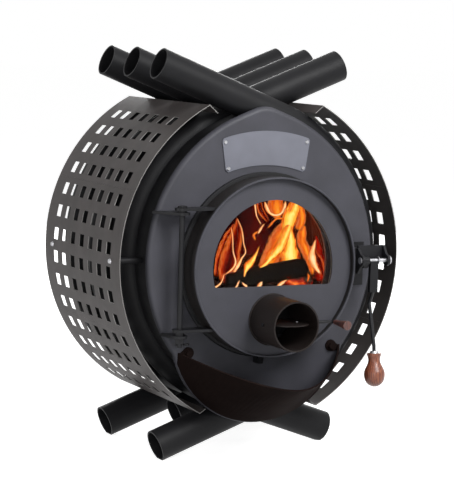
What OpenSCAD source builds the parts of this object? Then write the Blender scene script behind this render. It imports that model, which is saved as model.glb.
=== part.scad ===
// Hot-air workshop stove: six bent tubes round a drum-shaped firebox, a round
// glazed door on a long hinge, and two perforated side shrouds.
// X runs to the right, Y from the door to the flue, Z up. The origin is on
// the floor under the middle of the stove's box. Millimetres and degrees.

/* [Warm-air tubes] */
// Outside diameter of the bent tubes
tube_d = 60.3; // [48.3:0.1:63]
// Wall of the bent tubes
tube_wall = 2.9; // [2:0.1:4]
// Gap between one tube and the next where they cross
tube_gap = 0.5; // [0.3:0.1:1.5]
// Centre-line radius of the bend round the firebox
bend_r = 280.6; // [270:0.1:290]
// How far the bend's centre lies past the middle of the stove
bend_offset = 52; // [48:1:56]
// Slope of the upper ends above level
top_slope = 21.4; // [20:0.1:23]
// Slope of the lower ends below level
bottom_slope = 20; // [19:0.1:22]
// Straight length of the upper ends
top_leg = 274.8; // [250:0.1:320]
// Straight length of the lower ends that are the feet
foot_leg = 253.5; // [240:0.1:290]
// Straight length of the lower ends of the two middle tubes
short_leg = 152.8; // [130:0.1:180]
// Depth of the flat that is ground on each foot
foot_flat = 2.5; // [1:0.1:5]

/* [Firebox] */
// Thickness of the curved wall strips between the tubes
strip_t = 3; // [2:0.5:5]
// Thickness of the front and back plates
plate_t = 5; // [4:0.5:6]
// How far the front plate's face stands behind the shrouds' front edges
face_y = 1; // [0:0.5:6]
// Radius of the front plate's rolled rim
rim_r = 9; // [8:0.5:12]
// How far the plates reach past the tubes' centre line
plate_margin = 8.5; // [6:0.5:12]
// Radius that rounds the plates' upper point
apex_r = 60; // [40:1:80]
// Radius of the round lower lobe of the front plate
lobe_r = 184.7; // [180:0.1:190]
// How far the lobe's centre lies below the bend's centre
lobe_drop = 127; // [122:1:131]
// Gap left for a weld or a seat between fixed pieces
seat_gap = 0.3; // [0.2:0.05:0.5]
// Height of the baffle's underside above the bend's centre
baffle_z = 112; // [108:1:116]
// Thickness of the baffle
baffle_t = 4; // [3:0.5:6]
// Distance from the front plate to the baffle
baffle_setback = 125; // [80:1:160]
// Outside diameter of the air injectors
injector_d = 14; // [10:1:18]
// Wall of the air injectors
injector_wall = 2; // [1:0.5:3]
// Length of the air injectors
injector_len = 45; // [30:1:60]
// Angle above level at which the air injectors point inward
injector_angle = 38; // [34:1:44]
// Distance from the middle at which the wall strips end
strip_stop = 20; // [18:1:40]

/* [Flue] */
// Outside diameter of the flue spigot
flue_d = 120; // [110:1:124]
// Wall of the flue spigot
flue_wall = 2; // [1.5:0.5:3]
// Length of the spigot behind the back plate
flue_len = 100; // [90:1:140]
// Length of the spigot's free end that a stovepipe slides over
flue_socket = 50; // [40:1:60]
// Height of the spigot's axis above the bend's centre
flue_z = 180; // [178:1:182]
// Distance from the back plate to the flap's spindle
flue_spindle_y = 42; // [34:1:50]
// Diameter of the flue flap's spindle
flue_spindle_d = 8; // [6:1:10]
// Gap round the flue flap
flap_gap = 1.2; // [0.8:0.1:2]
// Thickness of the flue flap
flue_flap_t = 2; // [1.5:0.5:3]
// How far the spindle reaches out of the spigot to the handle
flue_reach = 62; // [45:1:90]
// Length of the flue handle's turned-back grip
flue_grip_len = 45; // [30:1:60]

/* [Shrouds] */
// Outer radius of the shrouds
shroud_r = 326.6; // [322:0.1:335]
// How far the shrouds' centre lies past the middle of the stove
shroud_offset = 34; // [30:1:38]
// Sheet thickness of the shrouds
shroud_t = 1.5; // [1:0.25:3]
// Depth of the shrouds from front to back
shroud_depth = 368.4; // [360:0.1:374]
// Angle of the shrouds' upper ends above level
shroud_top = 62.1; // [60:0.1:64]
// Angle of the shrouds' lower ends below level
shroud_bottom = 61.2; // [60:0.1:64]
// Width of the flanges at the shrouds' upper ends
flange_top_w = 22; // [12:1:26]
// Width of the flanges at the shrouds' lower ends
flange_bottom_w = 14; // [10:1:15]
// Slope of the upper flanges below level
flange_top_slope = 41; // [35:1:50]
// Slope of the lower flanges above level
flange_bottom_slope = 33; // [25:1:45]
// Angle between rows of slots
row_angle = 7.94; // [7.5:0.01:8.2]
// Rows of slots
slot_rows = 14; // [8:1:14]
// Columns of slots
slot_cols = 7; // [4:1:7]
// Distance from the front edge to the first column of slots
slot_first = 54.6; // [48:0.1:60]
// Distance between columns of slots
slot_pitch = 43.4; // [40:0.1:46]
// Height of a slot
slot_h = 23; // [15:0.5:30]
// Width of a slot from front to back
slot_w = 22; // [12:0.5:28]
// Distances of the two shroud screws from the front edge
shroud_screw_front = 43.5; // [36:0.5:50]
shroud_screw_rear = 329.8; // [325:0.1:335]
// Diameter of the stand-offs
standoff_d = 12; // [8:1:16]
// Diameter of the shroud screws
shroud_screw_d = 5; // [4:1:6]

/* [Door] */
// Outer radius of the door rim
door_r = 168; // [160:0.5:170]
// Wall of the door rim
rim_t = 3.5; // [2.5:0.5:5]
// Height of the door's centre above the bend's centre
door_z = -9.3; // [-14:0.1:-5]
// How far the rim's lip stands in front of the shrouds' front edges
rim_front = 56; // [52:0.5:60]
// How far the rim's rear edge stands in front of the shrouds' front edges
rim_rear = 10.2; // [9.8:0.1:14]
// Depth of the panel's face behind the rim's lip
panel_recess = 13; // [8:0.5:16]
// Thickness of the door panel
panel_t = 4; // [3:0.5:6]
// Radius of the opening in the front plate
opening_r = 136; // [130:1:142]
// Outer radius of the door seat
seat_r = 174; // [171:0.5:178]
// Wall of the door seat
seat_t = 4; // [3:0.5:5]
// Height of the door seat over the front plate
seat_h = 9.3; // [8:0.1:9.6]
// Diameter of the seal rope
rope_d = 12; // [10:0.5:13]
// Wall of the inner ring that holds the rope
seal_ring_t = 3; // [2:0.5:4]
// Clearance of the rope in its channel
rope_gap = 0.1; // [0:0.05:0.3]
// Radius of the window opening
window_r = 125; // [115:0.5:127]
// Height of the window's sill above the bend's centre
window_sill = -45; // [-50:0.5:-38]
// How far the glass reaches past the window opening
glass_lap = 12; // [9:0.5:12]
// Thickness of the glass
glass_t = 4; // [3:0.5:5]
// Thickness of the glass gasket
gasket_t = 3; // [2:0.5:4]
// Thickness of the glass clips
clip_t = 2; // [1.5:0.5:3]
// Diameter of the clip screws
clip_screw_d = 5; // [4:1:6]

/* [Air intake] */
// Outside diameter of the intake tube
intake_d = 93.4; // [88.9:0.1:98]
// Wall of the intake tube
intake_wall = 3; // [2:0.5:4]
// Height of the intake's axis above the bend's centre
intake_z = -107.4; // [-109:0.1:-106]
// How far the mouth stands in front of the shrouds' front edges
intake_front = 139.2; // [125:0.1:150]
// How far the intake reaches behind the door panel
intake_inner = 9; // [6:0.5:12]
// How far the flap's spindle stands in front of the shrouds' front edges
air_spindle_front = 97; // [90:1:102]
// Diameter of the air flap's spindle
air_spindle_d = 6; // [5:0.5:8]
// Thickness of the air flap
air_flap_t = 2; // [1.5:0.5:3]
// Gap round the air flap
air_flap_gap = 0.9; // [0.6:0.1:2]
// Distance from the middle of the stove to the crank's grip
crank_x = 99; // [85:1:115]
// Length of the wooden knob on the crank
knob_len = 46; // [30:1:55]
// Diameter of the knob's front end
knob_d = 17.4; // [14:0.2:22]
// Diameter of the knob's rear end
knob_neck_d = 10; // [9:0.5:14]
// Plain length of the crank in front of the spindle
crank_bare = 10; // [10:1:20]

/* [Hinge] */
// Distance of the hinge pin to the left of the middle
pin_x = 186; // [184:1:190]
// How far the hinge pin stands in front of the shrouds' front edges
pin_front = 35; // [32:1:38]
// Diameter of the hinge pin
pin_d = 10; // [8:1:12]
// Running clearance of the pin in the door's hinge plates
pin_play = 0.08; // [0.04:0.01:0.1]
// Thickness of the hinge plates
hinge_t = 5; // [4:0.5:6]
// Radius of the hinge plates' round ends
hinge_end_r = 14; // [11:0.5:15]
// Heights of the door's hinge plates over and under the door's centre
hinge_up = 110.6; // [100:0.1:118]
hinge_down = 112.2; // [100:0.1:118]
// Spaces between the door's and the stove's hinge plates
hinge_space_upper = 3.3; // [2:0.1:6]
hinge_space_lower = 6.5; // [2:0.1:8]
// Width of the upper fixed hinge plate where it meets the front plate
hinge_foot_upper = 58; // [40:1:60]
// Width of the lower fixed hinge plate where it meets the front plate
hinge_foot_lower = 36; // [30:1:50]
// Length of the pin under the lower hinge plate
pin_tail = 17; // [14:1:24]
// Gap between faces that move past each other
run_gap = 0.3; // [0.2:0.05:0.5]

/* [Latch] */
// How far the spindle stands in front of the shrouds' front edges
latch_front = 66; // [65:0.5:68]
// Height of the spindle above the bend's centre
latch_z = 0; // [-2:0.5:2]
// Diameter of the latch spindle
latch_spindle_d = 8; // [7:0.5:9]
// Running clearance of the latch spindle
latch_play = 0.06; // [0.04:0.01:0.1]
// Thickness of the bracket's plates
bracket_t = 4.7; // [4:0.1:6]
// Clear width between the bracket's two cheeks
bracket_gap = 50; // [48:1:56]
// Width of the lever at its top
lever_w = 17; // [12:0.5:18]
// Thickness of the lever's flat
lever_t = 8; // [5:0.5:9]
// Drop of the lever's rod from the flat to its lower bend
lever_drop = 101; // [90:1:125]
// Length of the lever's flat
lever_flat = 60; // [45:1:70]
// Diameter of the lever's rod
lever_rod_d = 6.8; // [5:0.2:9]
// Width of the hook
hook_w = 10; // [8:0.5:12]
// Reach of the hook behind the spindle
hook_reach = 36; // [34:0.5:38]
// Height of the barb over the hook's arm
barb_h = 7; // [5:0.5:8]
// Gap between the barb and the keeper when the latch is let go
barb_gap = 0.5; // [0.4:0.1:1]
// Length of the wooden handle
handle_len = 63; // [50:1:80]
// Largest diameter of the wooden handle
handle_d = 39.6; // [30:0.2:45]

/* [Ash apron and small parts] */
// How far the apron reaches in front of the shrouds' front edges
apron_reach = 159.3; // [120:0.1:165]
// How far the apron's front edge drops from its ends to its middle
apron_drop = 53.5; // [45:0.5:60]
// Height of the apron's ends above the bend's centre
apron_top = -168.9; // [-171:0.1:-167]
// Sheet thickness of the apron
apron_t = 3; // [2:0.5:4]
// Distance of the apron bolts from the middle
apron_bolt_x = 151; // [145:1:153]
// Diameter of the apron bolts
apron_bolt_d = 8; // [6:1:10]
// Thickness of the name plate
name_t = 2; // [1:0.5:3]
// Distance of the name plate's screws from its edges
name_edge = 6; // [5:0.5:9]
// Diameter of the name plate's screws
name_screw_d = 4; // [3:0.5:5]
// Width of the name plate at its top
name_w = 183; // [150:1:200]
// Width of the name plate at its foot
name_foot_w = 168; // [140:1:190]
// Height of the name plate's ends
name_h = 64; // [50:1:70]
// Height of the name plate's lower corners above the bend's centre
name_z = 162; // [160:1:170]
// Rise of the arched upper and lower edges
name_arch = 15; // [8:1:18]
// Width of the door rest
rest_w = 10; // [8:1:24]
// Distance of the door rest to the left of the middle
rest_x = 10; // [0:1:20]

/* [Hidden] */
$fn = 96;

tube_r = tube_d / 2;
tube_pitch = tube_d + tube_gap;
first_tube_y = face_y + rim_r + seat_gap + tube_r;
back_y = first_tube_y + 5 * tube_pitch + tube_r + seat_gap;
flue_end_y = back_y + plate_t + flue_len;
flue_root_r = flue_d / 2 + 1;
flue_grip_y = back_y + plate_t + flue_spindle_y + 1.5 * flue_spindle_d + flue_grip_len;

foot_low = bend_r * cos(bottom_slope) + foot_leg * sin(bottom_slope)
    + tube_r * cos(bottom_slope);
floor_drop = foot_low - foot_flat;
front_reach = max(apron_reach, intake_front, air_spindle_front + crank_bare + knob_len);
mid_y = (max(flue_end_y, flue_grip_y) - front_reach) / 2;

rim_y = -rim_front;
panel_y = rim_y + panel_recess;
panel_back_y = panel_y + panel_t;
seat_face_y = face_y - seat_gap - seat_h;
seal_ring_r = door_r - rim_t - rope_d - 2 * rope_gap - seal_ring_t;
rope_y = seat_face_y - seat_gap - rope_d / 2;
glass_y = panel_back_y + gasket_t;

intake_r = intake_d / 2;
intake_bore_r = intake_r - intake_wall;
pin_y = -pin_front;
latch_y = -latch_front;
ear_x = door_r + bracket_t;
cheek_x = ear_x + bracket_t + bracket_gap;
lever_x = ear_x + bracket_t + 4 + hook_w + 9;
hook_x = ear_x + bracket_t + 2;

weld_gap = seat_gap / 2;
bend_draw = 0.1;
bend_lap = 2;
fit_gap = 0.05;
turn_gap = 0.06;
bolt_gap = 0.1;
edge = 1.5;
washer_t = 1.5;

outline_r = bend_r + plate_margin;
apex_z = (outline_r - apex_r - bend_offset * sin(top_slope)) / cos(top_slope);
lobe_dist = norm([bend_offset, lobe_drop]);
lobe_turn = atan2(lobe_drop, bend_offset);
side_join = acos((pow(outline_r, 2) + pow(lobe_dist, 2) - pow(lobe_r, 2))
    / (2 * outline_r * lobe_dist)) - lobe_turn;
lobe_join = 180 - lobe_turn - acos((pow(lobe_r, 2) + pow(lobe_dist, 2) - pow(outline_r, 2))
    / (2 * lobe_r * lobe_dist));
rim_overrun = 2;
rim_draw = 0.02;
rim_lap = 2;
rim_steps = 9;
strip_lead = 1;

seat_w = 26;
name_corner = 7;
rest_h = 10;
rest_lip = 12;
window_corner = 8;
clip_angles = [35, 90, 145];
clip_sill_x = 90;
clip_w = 14;
clip_foot = 11.5;
clip_screw_x = 6.5;
shroud_seams = [-3, 3];
shroud_seam_gap = 0.2;
deflector_x = 58;
deflector_low = 32.6;
deflector_h = 75;
deflector_y = panel_back_y + 23;

upper_plate_top = door_z + hinge_up - hinge_t / 2 - hinge_space_upper;
lower_plate_top = door_z - hinge_down - hinge_t / 2 - hinge_space_lower;
hinge_inner_x = door_r - 50;
pin_head_h = 3;
pin_top_z = door_z + hinge_up + hinge_t / 2 + run_gap;
nut_top_z = lower_plate_top - hinge_t;
pin_low_z = nut_top_z - pin_tail;
nut_h = 8;
cotter_d = 2.4;
cotter_z = nut_top_z - washer_t - nut_h - cotter_d;
cotter_eye_r = 6;

ear_low = -26;
ear_high = 22;
web_y = -52.3;
web_low = 2;
web_high = 27;
cap_t = 4;
hook_low = -14;
barb_top = -1;
barb_t = 6;
keeper_gap = 1;
keeper_lip_t = 5;
keeper_arm_z = 8;
keeper_arm_h = 12;
keeper_foot_t = 3;
keeper_foot_w = 40;
keeper_foot_lap = 4.4;
keeper_foot_low = -55;
keeper_foot_high = 28;
lever_y = -1.8;
lever_path = [
    [lever_x, -3, 3 - lever_flat],
    [lever_x, 9.3, -lever_flat - 0.22 * lever_drop],
    [lever_x, -13.5, -lever_flat - lever_drop],
    [lever_x, -17.5, -lever_flat - lever_drop - 40]
];
rod_lap = 1.2;
grip_start = 14;
ferrule_h = 4;
handle_bore = 28;

air_flap_screw_x = intake_r / 2;
flue_flap_screw_x = flue_d / 4;
flap_screw_d = 3;
crank_bend = 0.8 * crank_bare;
flue_bend = 1.5 * flue_spindle_d;
flue_axis_y = back_y + plate_t + flue_spindle_y;
screw_depth = 12;

apron_end_x = 171.7;
apron_end_y = 0.4;
apron_bow = 1.8;
apron_step = 0.05;
apron_lap = 2;
apron_rear_y = face_y + 1.5;
apron_ear_r = 11;
apron_inset = 4;
apron_bolt_z = apron_top - 1.1;

// Puts the stove on the floor, under the middle of its box
module placed() {
    translate([0, -mid_y, floor_drop]) children();
}

// Stands a drawing upright at y, seen from the front: what is extruded
// grows to the front
module upright(y) {
    translate([0, y, 0]) rotate([90, 0, 0]) children();
}

// The same, centred on the round door
module on_door(y) {
    translate([0, y, door_z]) rotate([90, 0, 0]) children();
}

// Right side for 1, mirrored to the left for -1
module on_side(side) {
    mirror([side < 0 ? 1 : 0, 0, 0]) children();
}

// A copy on each side
module both_sides() {
    for (side = [1, -1]) on_side(side) children();
}

function tube_y(i) = first_tube_y + (i - 1) * tube_pitch;
function lower_leg(i) = (i == 3 || i == 4) ? short_leg : foot_leg;
function leg_to(slope, x) = (bend_r * sin(slope) - bend_offset - x) / cos(slope);

// Rod along a tube's centre line: a bend on the right, ends crossing leftward.
// The bend draws the tube in a little, and the straight ends lap onto it.
module bent_rod(r, leg, past_end = 0) {
    translate([-bend_offset, 0, 0]) {
        rotate(bottom_slope - 90)
            rotate_extrude(angle = 180 - bottom_slope - top_slope)
                translate([bend_r, 0]) circle(r - bend_draw);
        rotate(90 - top_slope)
            translate([bend_r, -bend_lap, 0])
                rotate([-90, 0, 0]) cylinder(h = top_leg + bend_lap + past_end, r = r);
        rotate(bottom_slope - 90)
            translate([bend_r, bend_lap, 0])
                rotate([90, 0, 0]) cylinder(h = leg + bend_lap + past_end, r = r);
    }
}

// Where an air injector leaves the bend, pointing into the firebox
module at_injector() {
    translate([-bend_offset, 0, 0])
        rotate(injector_angle)
            translate([bend_r, 0, 0]) rotate([0, -90, 0]) children();
}

module warm_air_tube(i) {
    color("#232326")
    placed() on_side(i % 2 == 1 ? 1 : -1) upright(tube_y(i))
        difference() {
            bent_rod(tube_r, lower_leg(i));
            bent_rod(tube_r - tube_wall, lower_leg(i), past_end = 1);
            translate([-2 * bend_r, -floor_drop - tube_d, -tube_r - 1])
                cube([3 * bend_r, tube_d, tube_d + 2]);
            if (i <= 2)
                at_injector() cylinder(h = tube_d, r = injector_d / 2 - injector_wall);
        }
}

// Curved wall from y0 to y1 on the right, fitted under the crossing tube
module wall_strip(y0, y1, cross_y) {
    top_len = leg_to(top_slope, strip_stop);
    bottom_len = leg_to(bottom_slope, strip_stop);
    flat_t = strip_t + 2 * bend_draw;
    flat_w = y1 - y0 - 2 * bend_draw;
    difference() {
        upright(y1) translate([-bend_offset, 0, 0]) {
            rotate(bottom_slope - 90)
                rotate_extrude(angle = 180 - bottom_slope - top_slope)
                    translate([bend_r - strip_t / 2, 0]) square([strip_t, y1 - y0]);
            rotate(90 - top_slope)
                translate([bend_r - flat_t / 2, -bend_lap, bend_draw])
                    cube([flat_t, top_len + bend_lap, flat_w]);
            rotate(bottom_slope - 90)
                translate([bend_r - flat_t / 2, -bottom_len, bend_draw])
                    cube([flat_t, bottom_len + bend_lap, flat_w]);
        }
        mirror([1, 0, 0]) upright(cross_y) bent_rod(tube_r + seat_gap, foot_leg);
    }
}

module right_wall_strips() {
    color("#2b2b2e")
    placed() {
        wall_strip(tube_y(1) + tube_r + weld_gap, tube_y(3) - tube_r - weld_gap, tube_y(2));
        wall_strip(tube_y(3) + tube_r + weld_gap, tube_y(5) - tube_r - weld_gap, tube_y(4));
        wall_strip(tube_y(5) + tube_r + weld_gap, back_y - weld_gap, tube_y(6));
    }
}

module left_wall_strips() {
    color("#2b2b2e")
    placed() mirror([1, 0, 0]) {
        wall_strip(face_y + plate_t + strip_lead, tube_y(2) - tube_r - weld_gap, tube_y(1));
        wall_strip(tube_y(2) + tube_r + weld_gap, tube_y(4) - tube_r - weld_gap, tube_y(3));
        wall_strip(tube_y(4) + tube_r + weld_gap, tube_y(6) - tube_r - weld_gap, tube_y(5));
    }
}

// Outline of the end plates seen from the front, drawn inward by inset
module plate_outline(inset, lobe) {
    r = outline_r - inset;
    point_r = apex_r - inset;
    shoulder = [r * sin(top_slope) - bend_offset, r * cos(top_slope)];
    point = [point_r * sin(top_slope), apex_z + point_r * cos(top_slope)];
    hip = [r * sin(bottom_slope) - bend_offset, -r * cos(bottom_slope)];
    keel = [0, (bend_offset * sin(bottom_slope) - r) / cos(bottom_slope)];
    intersection() {
        translate([-bend_offset, 0]) circle(r);
        translate([bend_offset, 0]) circle(r);
    }
    polygon([
        shoulder, point, [-point.x, point.y], [-shoulder.x, shoulder.y],
        [-hip.x, hip.y], keel, hip
    ]);
    translate([0, apex_z]) circle(point_r);
    if (lobe)
        translate([0, -lobe_drop]) circle(lobe_r - inset);
}

// Section of the rolled rim: how far in from the edge, and how far forward
function rim_profile(draw) =
    let (roll = rim_r - draw, inner = roll - plate_t)
        concat(
            [[rim_r + rim_lap, inner], [rim_r + rim_lap, roll]],
            [for (a = [0:90 / rim_steps:90]) [rim_r - roll * sin(a), roll * cos(a)]],
            [for (a = [90:-90 / rim_steps:0]) [rim_r - inner * sin(a), inner * cos(a)]]
        );

// The same as a section for an outer edge of radius r
module rim_section(r, draw = 0) {
    polygon([for (p = rim_profile(draw)) [r - p.x, p.y]]);
}

// Rolled rim of the front plate, from its rear edge to the front
module plate_rim() {
    line_len = leg_to(top_slope, 0) + (outline_r - bend_r - apex_r) * tan(top_slope);
    both_sides() translate([-bend_offset, 0, 0]) {
        rotate(side_join)
            rotate_extrude(angle = 90 - top_slope - side_join) rim_section(outline_r);
        rotate(90 - top_slope)
            translate([0, line_len + rim_lap / 2, 0]) rotate([90, 0, 0])
                linear_extrude(line_len + rim_lap) rim_section(outline_r, draw = bend_draw / 2);
    }
    translate([0, apex_z, 0])
        rotate(90 - top_slope)
            rotate_extrude(angle = 2 * top_slope) rim_section(apex_r);
    translate([0, -lobe_drop, 0])
        rotate(rim_draw - 180 - lobe_join)
            rotate_extrude(angle = 180 + 2 * (lobe_join - rim_draw)) rim_section(lobe_r);
    both_sides()
        translate([outline_r * cos(side_join) - bend_offset, outline_r * sin(side_join), 0])
            rotate(180 + side_join - rim_overrun)
                rotate_extrude(angle = lobe_join - side_join + 2 * rim_overrun)
                    polygon(rim_profile(bend_draw / 2));
}

module at_name_screws() {
    for (side = [-1, 1]) {
        translate([side * (name_w / 2 - name_edge), name_z + name_h - name_edge]) children();
        translate([side * (name_foot_w / 2 - name_edge), name_z + 1.5 * name_edge]) children();
    }
}

module at_apron_bolts() {
    for (side = [-1, 1])
        translate([side * apron_bolt_x, apron_bolt_z]) children();
}

module front_plate() {
    color("#45454b")
    placed() difference() {
        union() {
            upright(face_y + plate_t) linear_extrude(plate_t)
                plate_outline(rim_r + rim_lap / 2, true);
            upright(face_y + rim_r) plate_rim();
        }
        on_door(face_y + rim_r) cylinder(h = 2 * rim_r, r = opening_r);
        upright(face_y + plate_t + 1) {
            at_name_screws() cylinder(h = plate_t + 2, r = name_screw_d / 2 + bolt_gap);
            at_apron_bolts() cylinder(h = plate_t + 2, r = apron_bolt_d / 2 + bolt_gap);
        }
    }
}

module back_plate() {
    color("#2b2b2e")
    placed() upright(back_y + plate_t) linear_extrude(plate_t)
        difference() {
            plate_outline(0, false);
            translate([0, flue_z]) circle(flue_root_r + weld_gap);
        }
}

// Channel-shaped ring, closed towards the door, that the rope presses on
module door_seat() {
    color("#3c3c42")
    placed() on_door(face_y - seat_gap) rotate_extrude()
        difference() {
            polygon([
                [seat_r - seat_w, 0], [seat_r, 0], [seat_r, seat_h - edge],
                [seat_r - edge, seat_h], [seat_r - seat_w + edge, seat_h],
                [seat_r - seat_w, seat_h - edge]
            ]);
            translate([seat_r - seat_w + seat_t, -seat_t])
                square([seat_w - 2 * seat_t, seat_h]);
        }
}

// Lug under the seat that carries the closed door's weight
module door_rest() {
    rest_z = door_z - seat_r - 2 * seat_gap;
    lip_z = door_z - door_r - 2 * seat_gap;
    color("#26262a")
    placed() translate([-rest_x - rest_w / 2, 0, 0]) rotate([90, 0, 90])
        linear_extrude(rest_w) polygon([
            [face_y, rest_z], [seat_face_y - rest_lip / 2, rest_z],
            [seat_face_y - rest_lip / 2, lip_z], [seat_face_y - rest_lip, lip_z],
            [seat_face_y - rest_lip - rest_lip / 4, lip_z - rest_lip / 4],
            [seat_face_y - rest_lip, rest_z - rest_h], [face_y, rest_z - rest_h]
        ]);
}

// Apron: t runs from -1 at the left end to 1 at the right end
function apron_front(t) = [
    apron_end_x * t,
    apron_end_y - (apron_reach + apron_end_y) * (1 - pow(abs(t), apron_bow)),
    apron_top - apron_drop * (1 - pow(abs(t), apron_bow))
];
function apron_rear(t) = [
    apron_end_x * t,
    apron_rear_y,
    -lobe_drop - sqrt(pow(lobe_r - apron_lap, 2) - pow(apron_end_x * t, 2))
];
function unit(v) = v / norm(v);
function apron_normal(t) = unit(cross(
    apron_front(t + apron_step / 4) - apron_front(t - apron_step / 4),
    apron_rear(t) - apron_front(t)
));

// Point on the inner face, kept clear of the plate behind it
function apron_inner(p, n) = let (q = p + apron_t * n) [q.x, min(q.y, face_y - seat_gap), q.z];

module apron_sheet() {
    steps = round(2 / apron_step);
    ring = [
        for (i = [0:steps])
            let (t = 2 * i / steps - 1, n = apron_normal(t))
                each [
                    apron_rear(t), apron_front(t),
                    apron_inner(apron_front(t), n), apron_inner(apron_rear(t), n)
                ]
    ];
    sides = [
        for (i = [0:steps - 1], k = [0:3])
            let (a = 4 * i + k, b = 4 * i + (k + 1) % 4)
                each [[a, b, b + 4], [a, b + 4, a + 4]]
    ];
    polyhedron(ring, concat(sides, [[3, 2, 1, 0]], [[0, 1, 2, 3] + 4 * steps * [1, 1, 1, 1]]));
}

module ash_apron() {
    color("#222022")
    placed() {
        apron_sheet();
        both_sides() upright(face_y - weld_gap) linear_extrude(apron_t) difference() {
            union() {
                translate([apron_bolt_x, apron_bolt_z]) circle(apron_ear_r);
                polygon([
                    [apron_bolt_x, apron_bolt_z + apron_ear_r],
                    [apron_end_x - apron_inset, apron_top - 1],
                    [apron_end_x - apron_inset, apron_top - apron_ear_r],
                    [apron_bolt_x, apron_bolt_z - apron_ear_r]
                ]);
            }
            translate([apron_bolt_x, apron_bolt_z]) circle(apron_bolt_d / 2 + bolt_gap);
        }
    }
}

module apron_bolts() {
    color("#1e1e20")
    placed() upright(face_y - weld_gap - apron_t) at_apron_bolts() {
        cylinder(h = washer_t, d = 2.2 * apron_bolt_d);
        translate([0, 0, washer_t]) cylinder(h = 0.6 * apron_bolt_d, d = 1.7 * apron_bolt_d, $fn = 6);
        translate([0, 0, -apron_t - plate_t]) cylinder(h = apron_t + plate_t, d = apron_bolt_d);
    }
}

// Bare plate with an arched top, an arched foot and round corners, from the front
module name_outline() {
    r = name_corner;
    top_r = (name_w * name_w / 4 + name_arch * name_arch) / (2 * name_arch);
    foot_r = (name_foot_w * name_foot_w / 4 + name_arch * name_arch) / (2 * name_arch);
    top_mid = name_z + name_h + name_arch - top_r;
    foot_mid = name_z + name_arch - foot_r;
    top_x = name_w / 2 - r;
    foot_x = name_foot_w / 2 - r;
    top_z = top_mid + sqrt(pow(top_r - r, 2) - pow(top_x, 2));
    foot_z = foot_mid + sqrt(pow(foot_r + r, 2) - pow(foot_x, 2));
    difference() {
        union() {
            polygon([
                [-foot_x - r, foot_z], [foot_x + r, foot_z], [top_x + r, top_z], [-top_x - r, top_z]
            ]);
            for (side = [-1, 1]) {
                translate([side * top_x, top_z]) circle(r);
                translate([side * foot_x, foot_z]) circle(r);
            }
            intersection() {
                translate([0, top_mid]) circle(top_r);
                translate([-top_x - r / 5, top_z - 1])
                    square([2 * (top_x + r / 5), name_arch + 2 * r]);
            }
            translate([-foot_x - r / 5, name_z])
                square([2 * (foot_x + r / 5), foot_z - name_z + 1]);
        }
        translate([0, foot_mid]) circle(foot_r);
    }
}

module name_plate() {
    color("#9a9aa2")
    placed() upright(face_y) linear_extrude(name_t)
        difference() {
            name_outline();
            at_name_screws() circle(name_screw_d / 2 + bolt_gap);
        }
}

module name_plate_screws() {
    color("#b8b8bc")
    placed() upright(face_y - name_t) at_name_screws() {
        cylinder(h = name_screw_d / 2, d1 = 2 * name_screw_d, d2 = 1.4 * name_screw_d);
        translate([0, 0, -name_t - plate_t]) cylinder(h = name_t + plate_t, d = name_screw_d);
    }
}

// Point where a line from p touches a circle of radius r round c
function touch(c, r, p, turn) =
    let (v = p - c, a = atan2(v.y, v.x) + turn * acos(r / norm(v)))
        c + r * [cos(a), sin(a)];

// Hinge plate fixed to the front plate, seen from above, foot_w wide there
module fixed_hinge_plate(top_z, foot_w) {
    foot_y = face_y - weld_gap;
    foot_left = [-pin_x + hinge_end_r - foot_w, foot_y];
    placed() translate([0, 0, top_z - hinge_t]) linear_extrude(hinge_t)
        difference() {
            union() {
                translate([-pin_x, pin_y]) circle(hinge_end_r);
                polygon([
                    [-pin_x + hinge_end_r, foot_y], foot_left,
                    touch([-pin_x, pin_y], hinge_end_r, foot_left, 1),
                    [-pin_x, pin_y], [-pin_x + hinge_end_r, pin_y]
                ]);
            }
            translate([-pin_x, pin_y]) circle(pin_d / 2 + fit_gap);
        }
}

// Hinge plate on the door, cut to hug the rim
module moving_hinge_plate(mid_z) {
    placed() difference() {
        translate([0, 0, mid_z - hinge_t / 2]) linear_extrude(hinge_t)
            difference() {
                union() {
                    translate([-pin_x, pin_y]) circle(hinge_end_r);
                    translate([-pin_x, pin_y - hinge_end_r])
                        square([pin_x - hinge_inner_x, 2 * hinge_end_r]);
                }
                translate([-pin_x, pin_y]) circle(pin_d / 2 + pin_play);
            }
        on_door(face_y) cylinder(h = rim_front + rim_r, r = door_r + weld_gap);
    }
}

module hinge_plate_upper() {
    color("#34343a") fixed_hinge_plate(upper_plate_top, hinge_foot_upper);
}

module hinge_plate_lower() {
    color("#34343a") fixed_hinge_plate(lower_plate_top, hinge_foot_lower);
}

module door_hinge_plate_upper() {
    color("#34343a") moving_hinge_plate(door_z + hinge_up);
}

module door_hinge_plate_lower() {
    color("#34343a") moving_hinge_plate(door_z - hinge_down);
}

module at_pin(z) {
    translate([-pin_x, pin_y, z]) children();
}

module hinge_pin() {
    color("#18181a")
    placed() difference() {
        union() {
            at_pin(pin_low_z) cylinder(h = pin_top_z - pin_low_z, d = pin_d);
            at_pin(pin_top_z) cylinder(h = pin_head_h, d = 1.7 * pin_d);
        }
        at_pin(cotter_z) rotate([0, 90, 0])
            cylinder(h = 2 * pin_d, d = cotter_d + 2 * fit_gap, center = true);
    }
}

module hinge_spacers() {
    color("#18181a")
    placed() {
        at_pin(upper_plate_top) pin_washer(hinge_space_upper - run_gap);
        at_pin(lower_plate_top) pin_washer(hinge_space_lower - run_gap);
    }
}

module pin_washer(h) {
    difference() {
        cylinder(h = h, d = 1.7 * pin_d);
        translate([0, 0, -1]) cylinder(h = h + 2, r = pin_d / 2 + fit_gap);
    }
}

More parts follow.
